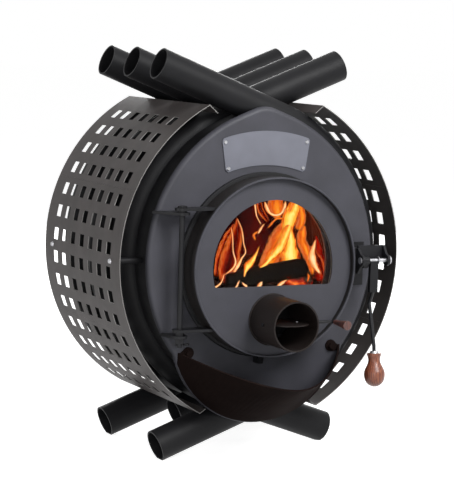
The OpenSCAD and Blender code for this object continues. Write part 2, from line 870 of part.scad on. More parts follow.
module hinge_nut() {
    color("#18181a")
    placed() at_pin(nut_top_z - washer_t - nut_h) difference() {
        union() {
            cylinder(h = nut_h, d = 1.8 * pin_d, $fn = 6);
            translate([0, 0, nut_h]) cylinder(h = washer_t, d = 2 * pin_d);
        }
        translate([0, 0, -1]) cylinder(h = nut_h + washer_t + 2, r = pin_d / 2 + fit_gap);
    }
}

// Split pin with a round eye, through the pin under its nut
module hinge_cotter() {
    color("#3a3a3e")
    placed() at_pin(cotter_z) {
        rotate([0, 90, 0]) cylinder(h = 1.8 * pin_d, d = cotter_d, center = true);
        translate([0.9 * pin_d + cotter_eye_r - cotter_d / 2, 0, 0])
            rotate_extrude() translate([cotter_eye_r, 0]) circle(cotter_d / 2, $fn = 24);
    }
}

// Catch on the front plate: a foot, an arm that stands out and a lip that hangs
module latch_keeper() {
    arm_z = latch_z + keeper_arm_z;
    foot_y = face_y - weld_gap;
    lip_y = latch_y + hook_reach - barb_t - keeper_gap - keeper_lip_t;
    color("#26262a")
    placed() {
        upright(foot_y) linear_extrude(keeper_foot_t)
            translate([hook_x + 1 - keeper_foot_lap, latch_z + keeper_foot_low])
                square([keeper_foot_w, keeper_foot_high - keeper_foot_low]);
        translate([hook_x + 0.5, 0, 0]) rotate([90, 0, 90])
            linear_extrude(hook_w - 1) polygon([
                [foot_y - keeper_foot_t / 2, arm_z + keeper_arm_h],
                [lip_y + keeper_lip_t / 2, arm_z + keeper_arm_h],
                [lip_y, arm_z + keeper_arm_h - keeper_lip_t / 2],
                [lip_y, latch_z + barb_top + barb_gap],
                [lip_y + keeper_lip_t, latch_z + barb_top + barb_gap],
                [lip_y + keeper_lip_t, arm_z], [foot_y - keeper_foot_t / 2, arm_z]
            ]);
    }
}

// Sheet of one shroud as a sector of a ring, from r to r + t, drawn upright.
// The shroud is three sheets that butt at two seams.
module shroud_sector(r, t, length) {
    rotate(-shroud_bottom)
        rotate_extrude(angle = shroud_bottom + shroud_top)
            translate([r, 0]) square([t, length]);
}

// Rows and columns of slots, as blocks through the sheet
module shroud_slots() {
    for (row = [0:slot_rows - 1])
        rotate((slot_rows / 2 - 0.5 - row) * row_angle)
            for (col = [0:slot_cols - 1])
                translate([
                    shroud_r - slot_h, -slot_h / 2,
                    shroud_depth - slot_first - col * slot_pitch - slot_w / 2
                ])
                    cube([2 * slot_h, slot_h, slot_w]);
}

module shroud(side) {
    screws = [shroud_screw_front, shroud_screw_rear];
    flange_len = shroud_depth - 2 * bend_draw;
    color("#4a4644")
    placed() on_side(side) upright(shroud_depth) translate([-shroud_offset, 0, 0])
        difference() {
            union() {
                shroud_sector(shroud_r - shroud_t, shroud_t, shroud_depth);
                rotate(shroud_top) translate([shroud_r - bend_draw, 0, bend_draw])
                    rotate(180 + flange_top_slope - shroud_top)
                        translate([0, -bend_draw, 0]) cube([flange_top_w, shroud_t, flange_len]);
                rotate(-shroud_bottom) translate([shroud_r - bend_draw, 0, bend_draw])
                    rotate(180 - flange_bottom_slope + shroud_bottom) mirror([0, 1, 0])
                        translate([0, -bend_draw, 0]) cube([flange_bottom_w, shroud_t, flange_len]);
            }
            shroud_slots();
            for (row = shroud_seams)
                rotate(row * row_angle) translate([shroud_r / 2, -shroud_seam_gap / 2, -1])
                    cube([shroud_r, shroud_seam_gap, shroud_depth + 2]);
            for (y = screws)
                translate([0, 0, shroud_depth - y]) rotate([0, 90, 0])
                    cylinder(h = 2 * shroud_r, r = shroud_screw_d / 2 + bolt_gap);
        }
}

module left_shroud() { shroud(-1); }

module right_shroud() { shroud(1); }

// Stand-off from x out to the shroud, with its screw hole
module standoff(x, y) {
    end_x = shroud_r - shroud_t - shroud_offset;
    translate([0, y, 0]) rotate([0, 90, 0]) difference() {
        translate([0, 0, x]) cylinder(h = end_x - weld_gap - x, d = standoff_d);
        translate([0, 0, end_x - screw_depth])
            cylinder(h = 2 * screw_depth, r = shroud_screw_d / 2 + bolt_gap);
    }
}

// The same, saddled on the bend of tube i
module tube_standoff(i, y) {
    difference() {
        standoff(bend_r - bend_offset, y);
        upright(tube_y(i)) translate([-bend_offset, 0, 0])
            rotate_extrude() translate([bend_r, 0]) circle(tube_r + weld_gap);
    }
}

module shroud_standoffs() {
    strip_out = bend_r + strip_t / 2 + seat_gap - bend_offset;
    color("#2b2b2e")
    placed() {
        tube_standoff(1, shroud_screw_front);
        standoff(strip_out, shroud_screw_rear);
        mirror([1, 0, 0]) {
            standoff(strip_out, shroud_screw_front);
            tube_standoff(6, shroud_screw_rear);
        }
    }
}

module shroud_screws() {
    color("#8d8d90")
    placed() both_sides() for (y = [shroud_screw_front, shroud_screw_rear])
        translate([shroud_r - shroud_offset, y, 0]) rotate([0, 90, 0]) {
            cylinder(h = 0.6 * shroud_screw_d, d1 = 2 * shroud_screw_d, d2 = 1.5 * shroud_screw_d);
            translate([0, 0, 1 - screw_depth]) cylinder(h = screw_depth, d = shroud_screw_d);
        }
}

module flue_spigot() {
    color("#2b2b2e")
    placed() difference() {
        upright(flue_end_y) translate([0, flue_z, 0]) difference() {
            union() {
                cylinder(h = flue_len + plate_t, d = flue_d);
                translate([0, 0, flue_socket]) cylinder(h = flue_len + plate_t - flue_socket, r = flue_root_r);
            }
            translate([0, 0, -1]) cylinder(h = flue_len + plate_t + 2, d = flue_d - 2 * flue_wall);
        }
        translate([0, flue_axis_y, flue_z]) rotate([0, 90, 0])
            cylinder(h = 2 * flue_d, r = flue_spindle_d / 2 + turn_gap, center = true);
    }
}

module baffle_plate() {
    inner_r = bend_r - tube_r;
    half_w = sqrt(pow(inner_r, 2) - pow(baffle_z + baffle_t, 2)) - bend_offset - seat_gap;
    front_y = face_y + plate_t + baffle_setback;
    color("#2b2b2e")
    placed() translate([-half_w, front_y, baffle_z])
        cube([2 * half_w, back_y - seat_gap - front_y, baffle_t]);
}

module air_injectors() {
    color("#2b2b2e")
    placed() for (i = [1, 2])
        on_side(i % 2 == 1 ? 1 : -1) upright(tube_y(i)) difference() {
            at_injector() difference() {
                cylinder(h = tube_r + injector_len, d = injector_d);
                translate([0, 0, -1])
                    cylinder(h = tube_r + injector_len + 2, r = injector_d / 2 - injector_wall);
            }
            translate([-bend_offset, 0, 0])
                rotate_extrude() translate([bend_r, 0]) circle(tube_r + weld_gap);
        }
}

// Disc cut straight at low, with the two corners rounded
module half_round(r, low, corner) {
    x = sqrt(pow(r - corner, 2) - pow(low + corner, 2));
    y = low + corner;
    intersection() {
        circle(r);
        polygon([[-x, y], [x, y], [2 * x, 2 * y], [2 * x, 2 * r], [-2 * x, 2 * r], [-2 * x, 2 * y]]);
    }
    translate([-x, low]) square([2 * x, 2 * corner]);
    for (side = [-1, 1])
        translate([side * x, y]) circle(corner);
}

// Glass clips stand round the window, with +X pointing away from the glass
module at_clips() {
    for (a = clip_angles)
        rotate(a) translate([window_r + glass_lap, 0, 0]) children();
    for (side = [-1, 1])
        translate([side * clip_sill_x, window_sill - door_z - glass_lap, 0]) rotate(-90) children();
}

module door_panel() {
    color("#45454b")
    placed() on_door(panel_back_y) difference() {
        linear_extrude(panel_t) difference() {
            circle(door_r - rim_t - weld_gap);
            half_round(window_r, window_sill - door_z, window_corner);
            translate([0, intake_z - door_z]) circle(intake_r + weld_gap);
        }
        at_clips() translate([clip_screw_x, 0, -1])
            cylinder(h = 1 + 0.7 * panel_t, r = clip_screw_d / 2 + bolt_gap);
    }
}

module door_rim() {
    outer = door_r;
    inner = door_r - rim_t;
    depth = rim_front - rim_rear;
    color("#45454b")
    placed() on_door(-rim_rear) rotate_extrude() polygon([
        [inner, 0], [outer, 0], [outer, depth - edge / 2], [outer - edge / 2, depth],
        [inner + edge / 2, depth], [inner, depth - edge / 2]
    ]);
}

module door_seal_ring() {
    color("#2b2b2e")
    placed() on_door(rope_y - rope_d / 12)
        rotate_extrude() translate([seal_ring_r, 0])
            square([seal_ring_t, rope_y - rope_d / 12 - panel_back_y - weld_gap]);
}

module door_seal_rope() {
    color("#6b675f")
    placed() on_door(rope_y) rotate_extrude()
        translate([seal_ring_r + seal_ring_t + rope_gap + rope_d / 2, 0]) circle(rope_d / 2);
}

module window_glass() {
    color("#6a3018")
    placed() on_door(glass_y + glass_t) linear_extrude(glass_t)
        half_round(window_r + glass_lap, window_sill - door_z - glass_lap, window_corner);
}

module glass_gasket() {
    color("#c8c4b8")
    placed() on_door(glass_y) linear_extrude(gasket_t) difference() {
        half_round(window_r + glass_lap, window_sill - door_z - glass_lap, window_corner);
        half_round(window_r, window_sill - door_z, window_corner);
    }
}

module glass_clips() {
    lip_y = gasket_t + glass_t + weld_gap;
    color("#8d8d90")
    placed() on_door(panel_back_y) at_clips() difference() {
        translate([0, clip_w / 2, 0]) rotate([90, 0, 0]) linear_extrude(clip_w) polygon([
            [seat_gap, 0], [clip_foot, 0], [clip_foot, -clip_t],
            [seat_gap + clip_t, -clip_t], [seat_gap + clip_t, -lip_y - clip_t],
            [-glass_lap * 0.7, -lip_y - clip_t], [-glass_lap * 0.7, -lip_y],
            [seat_gap, -lip_y]
        ]);
        translate([clip_screw_x, 0, -2 * clip_t])
            cylinder(h = 3 * clip_t, r = clip_screw_d / 2 + bolt_gap);
    }
}

module clip_screws() {
    color("#8d8d90")
    placed() on_door(panel_back_y) at_clips() translate([clip_screw_x, 0, 0]) {
        translate([0, 0, -clip_t - clip_screw_d / 2])
            cylinder(h = clip_screw_d / 2, d = 1.6 * clip_screw_d);
        translate([0, 0, -clip_t]) cylinder(h = clip_t + 0.6 * panel_t, d = clip_screw_d);
    }
}

module air_intake() {
    rear_y = panel_back_y + intake_inner;
    color("#3a3230")
    placed() difference() {
        upright(rear_y) translate([0, intake_z, 0]) difference() {
            cylinder(h = intake_front + rear_y, r = intake_r);
            translate([0, 0, -1]) cylinder(h = intake_front + rear_y + 2, r = intake_bore_r);
        }
        translate([0, -air_spindle_front, intake_z]) rotate([0, 90, 0])
            cylinder(h = 3 * intake_r, r = air_spindle_d / 2 + turn_gap, center = true);
    }
}

// Bent sheet behind the intake that spreads the air along the glass
module air_deflector() {
    color("#2b2b2e")
    placed() translate([0, 0, intake_z - deflector_low]) linear_extrude(deflector_h)
        difference() {
            translate([-deflector_x, panel_back_y + weld_gap])
                square([2 * deflector_x, deflector_y - panel_back_y - weld_gap]);
            translate([clip_t - deflector_x, panel_back_y])
                square([2 * (deflector_x - clip_t), deflector_y - panel_back_y - clip_t]);
        }
}

// Section of a bracket plate seen from the right: y forward is to the left
module bracket_side(rear_y, low, high) {
    eye_r = latch_spindle_d + 3;
    difference() {
        union() {
            translate([latch_y, latch_z]) circle(eye_r);
            polygon([
                [latch_y, latch_z - eye_r], [latch_y + eye_r, latch_z + low],
                [rear_y, latch_z + low], [rear_y, latch_z + high],
                [latch_y + eye_r, latch_z + high], [latch_y, latch_z + eye_r]
            ]);
        }
        translate([latch_y, latch_z]) circle(latch_spindle_d / 2 + latch_play);
    }
}

module latch_bracket() {
    color("#2a2a2e")
    placed() difference() {
        union() {
            translate([ear_x, 0, 0]) rotate([90, 0, 90])
                linear_extrude(bracket_t) bracket_side(-rim_rear - 4, ear_low, ear_high);
            translate([door_r - 2 * bracket_t, -rim_front + 6, latch_z + ear_low])
                cube([3 * bracket_t + 1, rim_front - rim_rear - 10, ear_high - ear_low]);
            translate([cheek_x, 0, 0]) rotate([90, 0, 90])
                linear_extrude(bracket_t) bracket_side(web_y + bracket_t, web_low, web_high);
            translate([ear_x + bracket_t / 2, web_y, latch_z + web_low])
                cube([cheek_x - ear_x, bracket_t, web_high - web_low]);
        }
        on_door(face_y) cylinder(h = rim_front + rim_r, r = door_r + weld_gap);
    }
}

// Everything on the latch spindle is drawn round its axis, with X to the right
module on_latch() {
    placed() translate([0, latch_y, latch_z]) children();
}

module along_x(x) {
    translate([x, 0, 0]) rotate([0, 90, 0]) children();
}

module latch_spindle() {
    left_x = ear_x - run_gap;
    color("#c4c4c8")
    on_latch() {
        along_x(left_x) cylinder(h = cheek_x + bracket_t + cap_t - left_x, d = latch_spindle_d);
        along_x(left_x - washer_t) cylinder(h = washer_t, d = 1.6 * latch_spindle_d);
    }
}

// Cap on the spindle's right end and the washer between lever and cheek
module latch_washers() {
    color("#6a6a6e")
    on_latch() difference() {
        union() {
            along_x(cheek_x + bracket_t + run_gap) cylinder(h = cap_t, d = 2 * latch_spindle_d);
            along_x(lever_x + lever_w / 2 + seat_gap) cylinder(h = washer_t, d = 2 * latch_spindle_d);
        }
        along_x(ear_x) cylinder(h = cheek_x, r = latch_spindle_d / 2 + fit_gap);
    }
}

// Rod from a to b that laps a little past both
module rod(a, b, r) {
    v = b - a;
    translate(a - rod_lap * unit(v))
        rotate([0, acos(v.z / norm(v)), atan2(v.y, v.x)])
            cylinder(h = norm(v) + 2 * rod_lap, r = r);
}

module latch_lever() {
    color("#3a3a3e")
    on_latch() difference() {
        union() {
            translate([lever_x - lever_w / 2, lever_y - lever_t / 2, -lever_flat])
                cube([lever_w, lever_t, lever_flat - latch_spindle_d / 4]);
            for (i = [0:2])
                rod(lever_path[i], lever_path[i + 1], lever_rod_d / 2 + (2 - i) * bend_draw);
        }
        along_x(ear_x) cylinder(h = cheek_x, r = latch_spindle_d / 2 + fit_gap);
    }
}

module latch_hook() {
    color("#3a3a3e")
    on_latch() difference() {
        translate([hook_x, 0, 0]) rotate([90, 0, 90]) linear_extrude(hook_w) union() {
            circle(latch_spindle_d);
            polygon([
                [0, hook_low], [hook_reach, hook_low], [hook_reach, barb_top],
                [hook_reach - barb_t, barb_top], [hook_reach - barb_t, barb_top - barb_h],
                [0, barb_top - barb_h], [-latch_spindle_d, 0]
            ]);
        }
        along_x(ear_x) cylinder(h = cheek_x, r = latch_spindle_d / 2 + fit_gap);
    }
}

// Starts s below the grip's upper end and follows the rod down
module along_grip(s) {
    v = unit(lever_path[3] - lever_path[2]);
    translate(lever_path[2] + (grip_start + s) * v)
        rotate([0, acos(v.z), atan2(v.y, v.x)]) children();
}

module handle_ferrule() {
    color("#b8b8bc")
    on_latch() along_grip(-ferrule_h) difference() {
        cylinder(h = ferrule_h, d1 = 2 * lever_rod_d, d2 = 2.6 * lever_rod_d);
        translate([0, 0, -1]) cylinder(h = ferrule_h + 2, r = lever_rod_d / 2 + fit_gap);
    }
}

// Radius of the turned handle at a share s of its length
function handle_r(s) = handle_d / 2 * (
    s < 0.2 ? 0.625 + 0.065 * cos(s / 0.2 * 180)
    : s < 0.62 ? 0.78 - 0.22 * cos((s - 0.2) / 0.42 * 180)
    : sqrt(1 - pow((s - 0.62) / 0.39, 2.4)));

module wooden_handle() {
    steps = 28;
    color("#7a3f24")
    on_latch() along_grip(0) difference() {
        rotate_extrude() polygon([
            [0, 0],
            for (i = [0:steps]) [handle_r(i / steps), handle_len * i / steps],
            [0, handle_len]
        ]);
        translate([0, 0, -1]) cylinder(h = 1 + handle_bore, r = lever_rod_d / 2 + fit_gap);
    }
}

// The air flap's axis lies along X through the intake tube
module on_air_axis() {
    placed() translate([0, -air_spindle_front, intake_z]) children();
}

module air_flap() {
    color("#26262a")
    on_air_axis() difference() {
        cylinder(h = air_flap_t, r = intake_bore_r - air_flap_gap);
        for (side = [-1, 1])
            translate([side * air_flap_screw_x, 0, -1])
                cylinder(h = air_flap_t + 2, r = flap_screw_d / 2 + bolt_gap);
    }
}

// Rod through the tube, flat where the flap lies on it, and bent into a crank
module air_flap_spindle() {
    r = air_spindle_d / 2;
    color("#1e1a1a")
    on_air_axis() difference() {
        union() {
            along_x(-intake_r - r) cylinder(h = crank_x - crank_bend + intake_r + r, r = r);
            translate([crank_x - crank_bend, -crank_bend, 0])
                rotate_extrude(angle = 90) translate([crank_bend, 0]) circle(r);
            translate([crank_x, -crank_bend, 0]) rotate([90, 0, 0])
                cylinder(h = crank_bare + knob_len / 2 - crank_bend, r = r);
        }
        translate([weld_gap - intake_bore_r, -r - 1, -weld_gap])
            cube([2 * (intake_bore_r - weld_gap), 2 * r + 2, r + 1]);
        for (side = [-1, 1])
            translate([side * air_flap_screw_x, 0, -2 * r])
                cylinder(h = 4 * r, r = flap_screw_d / 2 + bolt_gap);
    }
}

module air_flap_screws() {
    color("#8d8d90")
    on_air_axis() for (side = [-1, 1])
        translate([side * air_flap_screw_x, 0, 0]) {
            translate([0, 0, air_flap_t]) cylinder(h = flap_screw_d / 2, d = 2 * flap_screw_d);
            translate([0, 0, -air_spindle_d / 2])
                cylinder(h = air_spindle_d / 2 + air_flap_t, d = flap_screw_d);
        }
}

module air_damper_knob() {
    r = air_spindle_d / 2 + fit_gap;
    color("#5a4038")
    on_air_axis() translate([crank_x, -crank_bare, 0]) rotate([90, 0, 0]) difference() {
        rotate_extrude() polygon([
            [0, 0], [knob_neck_d / 2 - 1, 0], [knob_neck_d / 2, 1],
            [knob_neck_d / 2, knob_len * 0.25], [knob_d / 2 * 0.93, knob_len * 0.8],
            [knob_d / 2, knob_len - 4], [knob_d / 2, knob_len - 1], [knob_d / 2 - 1, knob_len],
            [0, knob_len]
        ]);
        translate([0, 0, -1]) cylinder(h = knob_len / 2 + 2, r = r);
    }
}

// The flue flap's axis lies along X through the spigot
module on_flue_axis() {
    placed() translate([0, flue_axis_y, flue_z]) children();
}

module flue_flap() {
    color("#26262a")
    on_flue_axis() difference() {
        cylinder(h = flue_flap_t, r = flue_d / 2 - flue_wall - flap_gap);
        for (side = [-1, 1])
            translate([side * flue_flap_screw_x, 0, -1])
                cylinder(h = flue_flap_t + 2, r = flap_screw_d / 2 + bolt_gap);
    }
}

module flue_flap_spindle() {
    r = flue_spindle_d / 2;
    bore_r = flue_d / 2 - flue_wall;
    end_x = flue_d / 2 + flue_reach;
    color("#1e1a1a")
    on_flue_axis() difference() {
        union() {
            along_x(-flue_d / 2 - r) cylinder(h = end_x - flue_bend + flue_d / 2 + r, r = r);
            translate([end_x - flue_bend, flue_bend, 0])
                rotate(-90) rotate_extrude(angle = 90) translate([flue_bend, 0]) circle(r);
            translate([end_x, flue_bend, 0]) rotate([-90, 0, 0])
                cylinder(h = flue_grip_len / 2, r = r);
        }
        translate([weld_gap - bore_r, -r - 1, -weld_gap])
            cube([2 * (bore_r - weld_gap), 2 * r + 2, r + 1]);
        for (side = [-1, 1])
            translate([side * flue_flap_screw_x, 0, -2 * r])
                cylinder(h = 4 * r, r = flap_screw_d / 2 + bolt_gap);
    }
}

module flue_flap_screws() {
    color("#8d8d90")
    on_flue_axis() for (side = [-1, 1])
        translate([side * flue_flap_screw_x, 0, 0]) {
            translate([0, 0, flue_flap_t]) cylinder(h = flap_screw_d / 2, d = 2 * flap_screw_d);
            translate([0, 0, -flue_spindle_d / 2])
                cylinder(h = flue_spindle_d / 2 + flue_flap_t, d = flap_screw_d);
        }
}

module flue_damper_knob() {
    color("#5a4038")
    on_flue_axis() translate([flue_d / 2 + flue_reach, flue_bend, 0]) rotate([-90, 0, 0])
        difference() {
            rotate_extrude() polygon([
                [0, 0], [flue_spindle_d * 0.7, 0], [flue_spindle_d * 0.9, 2],
                [flue_spindle_d * 1.1, flue_grip_len * 0.6], [flue_spindle_d * 0.9, flue_grip_len - 2],
                [flue_spindle_d * 0.6, flue_grip_len], [0, flue_grip_len]
            ]);
            translate([0, 0, -1])
                cylinder(h = 1 + flue_grip_len / 2 + seat_gap, r = flue_spindle_d / 2 + fit_gap);
        }
}

for (i = [1:6])
    warm_air_tube(i);
left_wall_strips();
right_wall_strips();
front_plate();
back_plate();
door_seat();
door_rest();
ash_apron();
apron_bolts();
name_plate();
name_plate_screws();
hinge_plate_upper();
hinge_plate_lower();
hinge_pin();
hinge_spacers();
hinge_nut();
hinge_cotter();
latch_keeper();
left_shroud();
right_shroud();
shroud_standoffs();
shroud_screws();
flue_spigot();
baffle_plate();
air_injectors();
door_panel();
door_rim();
door_seal_ring();
door_seal_rope();
window_glass();
glass_gasket();
glass_clips();
clip_screws();
air_intake();
air_deflector();
door_hinge_plate_upper();
door_hinge_plate_lower();
latch_bracket();
latch_spindle();
latch_washers();
latch_lever();
latch_hook();
handle_ferrule();
wooden_handle();
air_flap();
air_flap_spindle();
air_flap_screws();
air_damper_knob();
flue_flap();
flue_flap_spindle();
flue_flap_screws();
flue_damper_knob();
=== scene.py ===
"""Hot-air workshop stove: its finishes, weld beads, rope seal and the wood fire behind the glass.

Lengths are metres in the CAD frame: X right, Y from the door to the flue, Z up.
"""

import math

import bpy
import mathutils
import numpy as np
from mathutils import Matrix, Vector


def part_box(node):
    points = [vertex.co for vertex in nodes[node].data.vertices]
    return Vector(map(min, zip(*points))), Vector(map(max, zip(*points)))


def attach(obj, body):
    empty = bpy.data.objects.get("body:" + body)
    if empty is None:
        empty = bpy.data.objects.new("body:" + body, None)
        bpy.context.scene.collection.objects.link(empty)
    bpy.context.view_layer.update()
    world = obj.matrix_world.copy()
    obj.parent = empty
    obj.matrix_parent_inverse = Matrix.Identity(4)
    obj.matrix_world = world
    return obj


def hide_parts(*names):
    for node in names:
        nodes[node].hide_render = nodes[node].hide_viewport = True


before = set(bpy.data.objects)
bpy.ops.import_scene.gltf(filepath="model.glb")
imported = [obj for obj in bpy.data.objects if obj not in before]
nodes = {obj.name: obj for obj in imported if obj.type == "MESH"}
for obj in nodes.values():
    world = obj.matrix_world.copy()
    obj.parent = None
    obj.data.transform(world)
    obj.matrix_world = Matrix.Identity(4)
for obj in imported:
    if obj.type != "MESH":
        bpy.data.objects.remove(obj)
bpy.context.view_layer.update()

MM = 0.001
TAU = 2 * math.pi
# Each shroud is rolled round an axis along Y, this far from the middle and at the height of the tubes' bends
SHROUD_OFFSET = 34 * MM
BEND_Z = 376.212 * MM
# The fire is laid out in millimetres from the middle, the shrouds' front edge and the height of the bends
FIRE_ORIGIN = np.array([0, -160.3 * MM, BEND_Z])


def corners(node):
    """Low and high corner of a CAD node's box."""
    low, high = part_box(node)
    return np.array(low), np.array(high)


# Mesh helpers


def mesh_piece(name, points, faces, material, body):
    """Smooth object at the origin, riding on a body, from an array of points and a list of faces."""
    mesh = bpy.data.meshes.new(name)
    mesh.from_pydata(points.tolist(), [], faces)
    mesh.polygons.foreach_set("use_smooth", np.ones(len(mesh.polygons), bool))
    mesh.materials.append(material)
    piece = bpy.data.objects.new(name, mesh)
    bpy.context.scene.collection.objects.link(piece)
    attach(piece, body)
    return piece


def grid_faces(rows, columns, close_rows=False):
    """Quads between rows of points, each row closed on itself; close_rows joins the last to the first."""
    r = np.arange(rows if close_rows else rows - 1)
    r, c = (a.ravel() for a in np.meshgrid(r, np.arange(columns), indexing="ij"))
    r1, c1 = (r + 1) % rows, (c + 1) % columns
    return np.stack([r * columns + c, r * columns + c1, r1 * columns + c1, r1 * columns + c], axis=1)


def sweep(path, across, rise, sideways, up):
    """Closed loop of a section carried round a closed path: path point + across * sideways + rise * up."""
    points = (
        path[:, None, :] + across[..., None] * sideways[:, None, :] + rise[..., None] * up[:, None, :]
    )
    rows, columns = points.shape[:2]
    return points.reshape(-1, 3), grid_faces(rows, columns, close_rows=True)[:, ::-1].tolist()


def ring_round_y(centre, radius, section, a, b):
    """Ring round an axis along Y: centre + (R + r cos b) outward at the angle a + r sin b along Y."""
    outward = np.stack([np.cos(a), 0 * a, np.sin(a)], axis=1)
    along = np.tile([0.0, 1.0, 0.0], (len(a), 1))
    return sweep(centre + radius * outward, section * np.cos(b), section * np.sin(b), outward, along)


def closed_tube(points):
    """Tube from rows of points, with a fan of triangles at each end to a point in the middle of its row."""
    rows, columns = points.shape[:2]
    c = np.arange(columns)
    after = (c + 1) % columns
    last = (rows - 1) * columns
    first_tip = np.full(columns, rows * columns)
    fans = [
        np.stack([first_tip, after, c], axis=1),
        np.stack([first_tip + 1, last + c, last + after], axis=1),
    ]
    faces = grid_faces(rows, columns).tolist() + np.concatenate(fans).tolist()
    tips = [points[0].mean(axis=0), points[-1].mean(axis=0)]
    return np.concatenate([points.reshape(-1, 3), tips]), faces


def add_uv(piece, u, v):
    """UV map from one u and one v per point of the piece."""
    mesh = piece.data
    corner = np.empty(len(mesh.loops), int)
    mesh.loops.foreach_get("vertex_index", corner)
    uv = np.stack([np.ravel(u)[corner], np.ravel(v)[corner]], axis=1)
    mesh.uv_layers.new(name="UVMap").data.foreach_set("uv", uv.ravel())


# Materials

# A Mix node has its A, B and Result once for each type of value, so the ones for colours go by number
FIRST, SECOND = 6, 7
COLOURS = {"out": 2, "data_type": "RGBA"}


def linear(hex_colour):
    """sRGB hex colour to linear RGBA."""
    values = np.array([int(hex_colour[i : i + 2], 16) for i in (1, 3, 5)]) / 255
    values = np.where(values <= 0.04045, values / 12.92, ((values + 0.055) / 1.055) ** 2.4)
    return (*values.tolist(), 1.0)


def add(tree, kind, inputs=(), out=0, stops=(), **settings):
    """Adds a node with its settings and links, and gives one of its outputs, by name or number.

    inputs holds a value, a hex colour or another node's output for each socket, by name or number.
    stops holds the (place, hex colour) pairs of a colour ramp.
    """
    node = tree.nodes.new("ShaderNode" + kind)
    for name, value in settings.items():
        setattr(node, name, value)
    for socket, value in dict(inputs).items():
        if isinstance(value, bpy.types.NodeSocket):
            tree.links.new(value, node.inputs[socket])
        else:
            node.inputs[socket].default_value = linear(value) if isinstance(value, str) else value
    if stops:
        elements = node.color_ramp.elements
        while len(elements) < len(stops):
            elements.new(0.5)
        for element, (place, colour) in zip(elements, stops):
            element.position = place
            element.color = linear(colour)
    return node.outputs[out] if node.outputs else None


def blank_material(name):
    """New material and its node tree, emptied."""
    material = bpy.data.materials.new(name)
    material.use_nodes = True
    material.node_tree.nodes.clear()
    return material, material.node_tree


def cut_edges(tree, place, centre_x):
    """1 on the cut faces of a shroud: their normal has no part that points away from its axis."""
    out = add(tree, "VectorMath", {0: place, 1: (centre_x, 0, BEND_Z)}, operation="SUBTRACT")
    out = add(tree, "VectorMath", {0: out, 1: (1, 0, 1)}, operation="MULTIPLY")
    out = add(tree, "VectorMath", {0: out}, operation="NORMALIZE")
    normal = add(tree, "NewGeometry", out="True Normal")
    facing = add(tree, "VectorMath", {0: out, 1: normal}, out="Value", operation="DOT_PRODUCT")
    facing = add(tree, "Math", {0: facing}, operation="ABSOLUTE")
    return add(tree, "Math", {0: facing, 1: 0.25}, operation="LESS_THAN")


def stove_paint(name, colour, light, roughness, edge_axis=None, specular=0.3, shade_behind=None):
    """Heat-proof silicone paint, rolled or sprayed on steel: dull, softly mottled, with a fine orange peel.

    light is the colour where it lies thin, in patches about 60 mm across. The peel's real grain is about
    1 mm and is drawn at 3 mm, because a pixel of the render is about 1.7 mm wide. edge_axis is the X of a
    shroud's axis, and its cut faces are coloured a pale grey. Past the Y plane given as its last argument
    the paint turns near-black: painted shade on the side of the door's rim.
    """
    material, tree = blank_material(name)
    place = add(tree, "TexCoord", out="Object")
    mottle = add(tree, "TexNoise", {"Vector": place, "Scale": 1 / (60 * MM), "Detail": 4.0})
    thin = add(tree, "MapRange", {"Value": mottle, "From Min": 0.35, "From Max": 0.7})
    tone = add(tree, "Mix", {"Factor": thin, FIRST: colour, SECOND: light}, **COLOURS)
    if edge_axis is not None:
        # The shroud's cut faces are coloured a pale grey
        pale_cut_faces = cut_edges(tree, place, edge_axis)
        tone = add(tree, "Mix", {"Factor": pale_cut_faces, FIRST: tone, SECOND: "#8c8a88"}, **COLOURS)
    # Painted shade: past the given Y plane the paint turns near-black, for the shaded side of the door's rim
    if shade_behind is not None:
        depth = add(tree, "SeparateXYZ", {"Vector": place}, out="Y")
        span = {"Value": depth, "From Min": shade_behind, "From Max": shade_behind + 4 * MM}
        painted_shade = add(tree, "MapRange", span)
        tone = add(tree, "Mix", {"Factor": painted_shade, FIRST: tone, SECOND: "#1b1817"}, **COLOURS)
    patches = add(tree, "TexNoise", {"Vector": place, "Scale": 1 / (25 * MM)})
    rough = {"Value": patches, "To Min": roughness - 0.05, "To Max": roughness + 0.07}
    peel = add(tree, "TexNoise", {"Vector": place, "Scale": 1 / (3 * MM)})
    surface = {
        "Base Color": tone,
        "Roughness": add(tree, "MapRange", rough),
        "Specular IOR Level": specular,
        "Normal": add(tree, "Bump", {"Height": peel, "Distance": 0.12 * MM, "Strength": 0.35}),
    }
    add(tree, "OutputMaterial", {"Surface": add(tree, "BsdfPrincipled", surface)})
    return material


def bare_steel(name, colour, roughness):
    """Bare turned steel: fine lines left by the lathe tool round the X axis, and a trace of grey oxide.

    The lines are drawn about 1 mm apart, coarser than the tool leaves them, so that they show.
    """
    material, tree = blank_material(name)
    place = add(tree, "TexCoord", out="Object")
    lines = add(tree, "Mapping", {"Vector": place, "Scale": (900, 60, 60)})
    groove = add(tree, "TexNoise", {"Vector": lines, "Scale": 1.0})
    oxide = add(tree, "TexNoise", {"Vector": place, "Scale": 1 / (9 * MM), "Detail": 4.0})
    rough = {"Value": groove, "To Min": roughness, "To Max": roughness + 0.2}
    surface = {
        "Base Color": add(tree, "Mix", {"Factor": oxide, FIRST: colour, SECOND: "#77777a"}, **COLOURS),
        "Metallic": 1.0,
        "Roughness": add(tree, "MapRange", rough),
        "Normal": add(tree, "Bump", {"Height": groove, "Distance": 0.05 * MM, "Strength": 0.4}),
    }
    add(tree, "OutputMaterial", {"Surface": add(tree, "BsdfPrincipled", surface)})
    return material


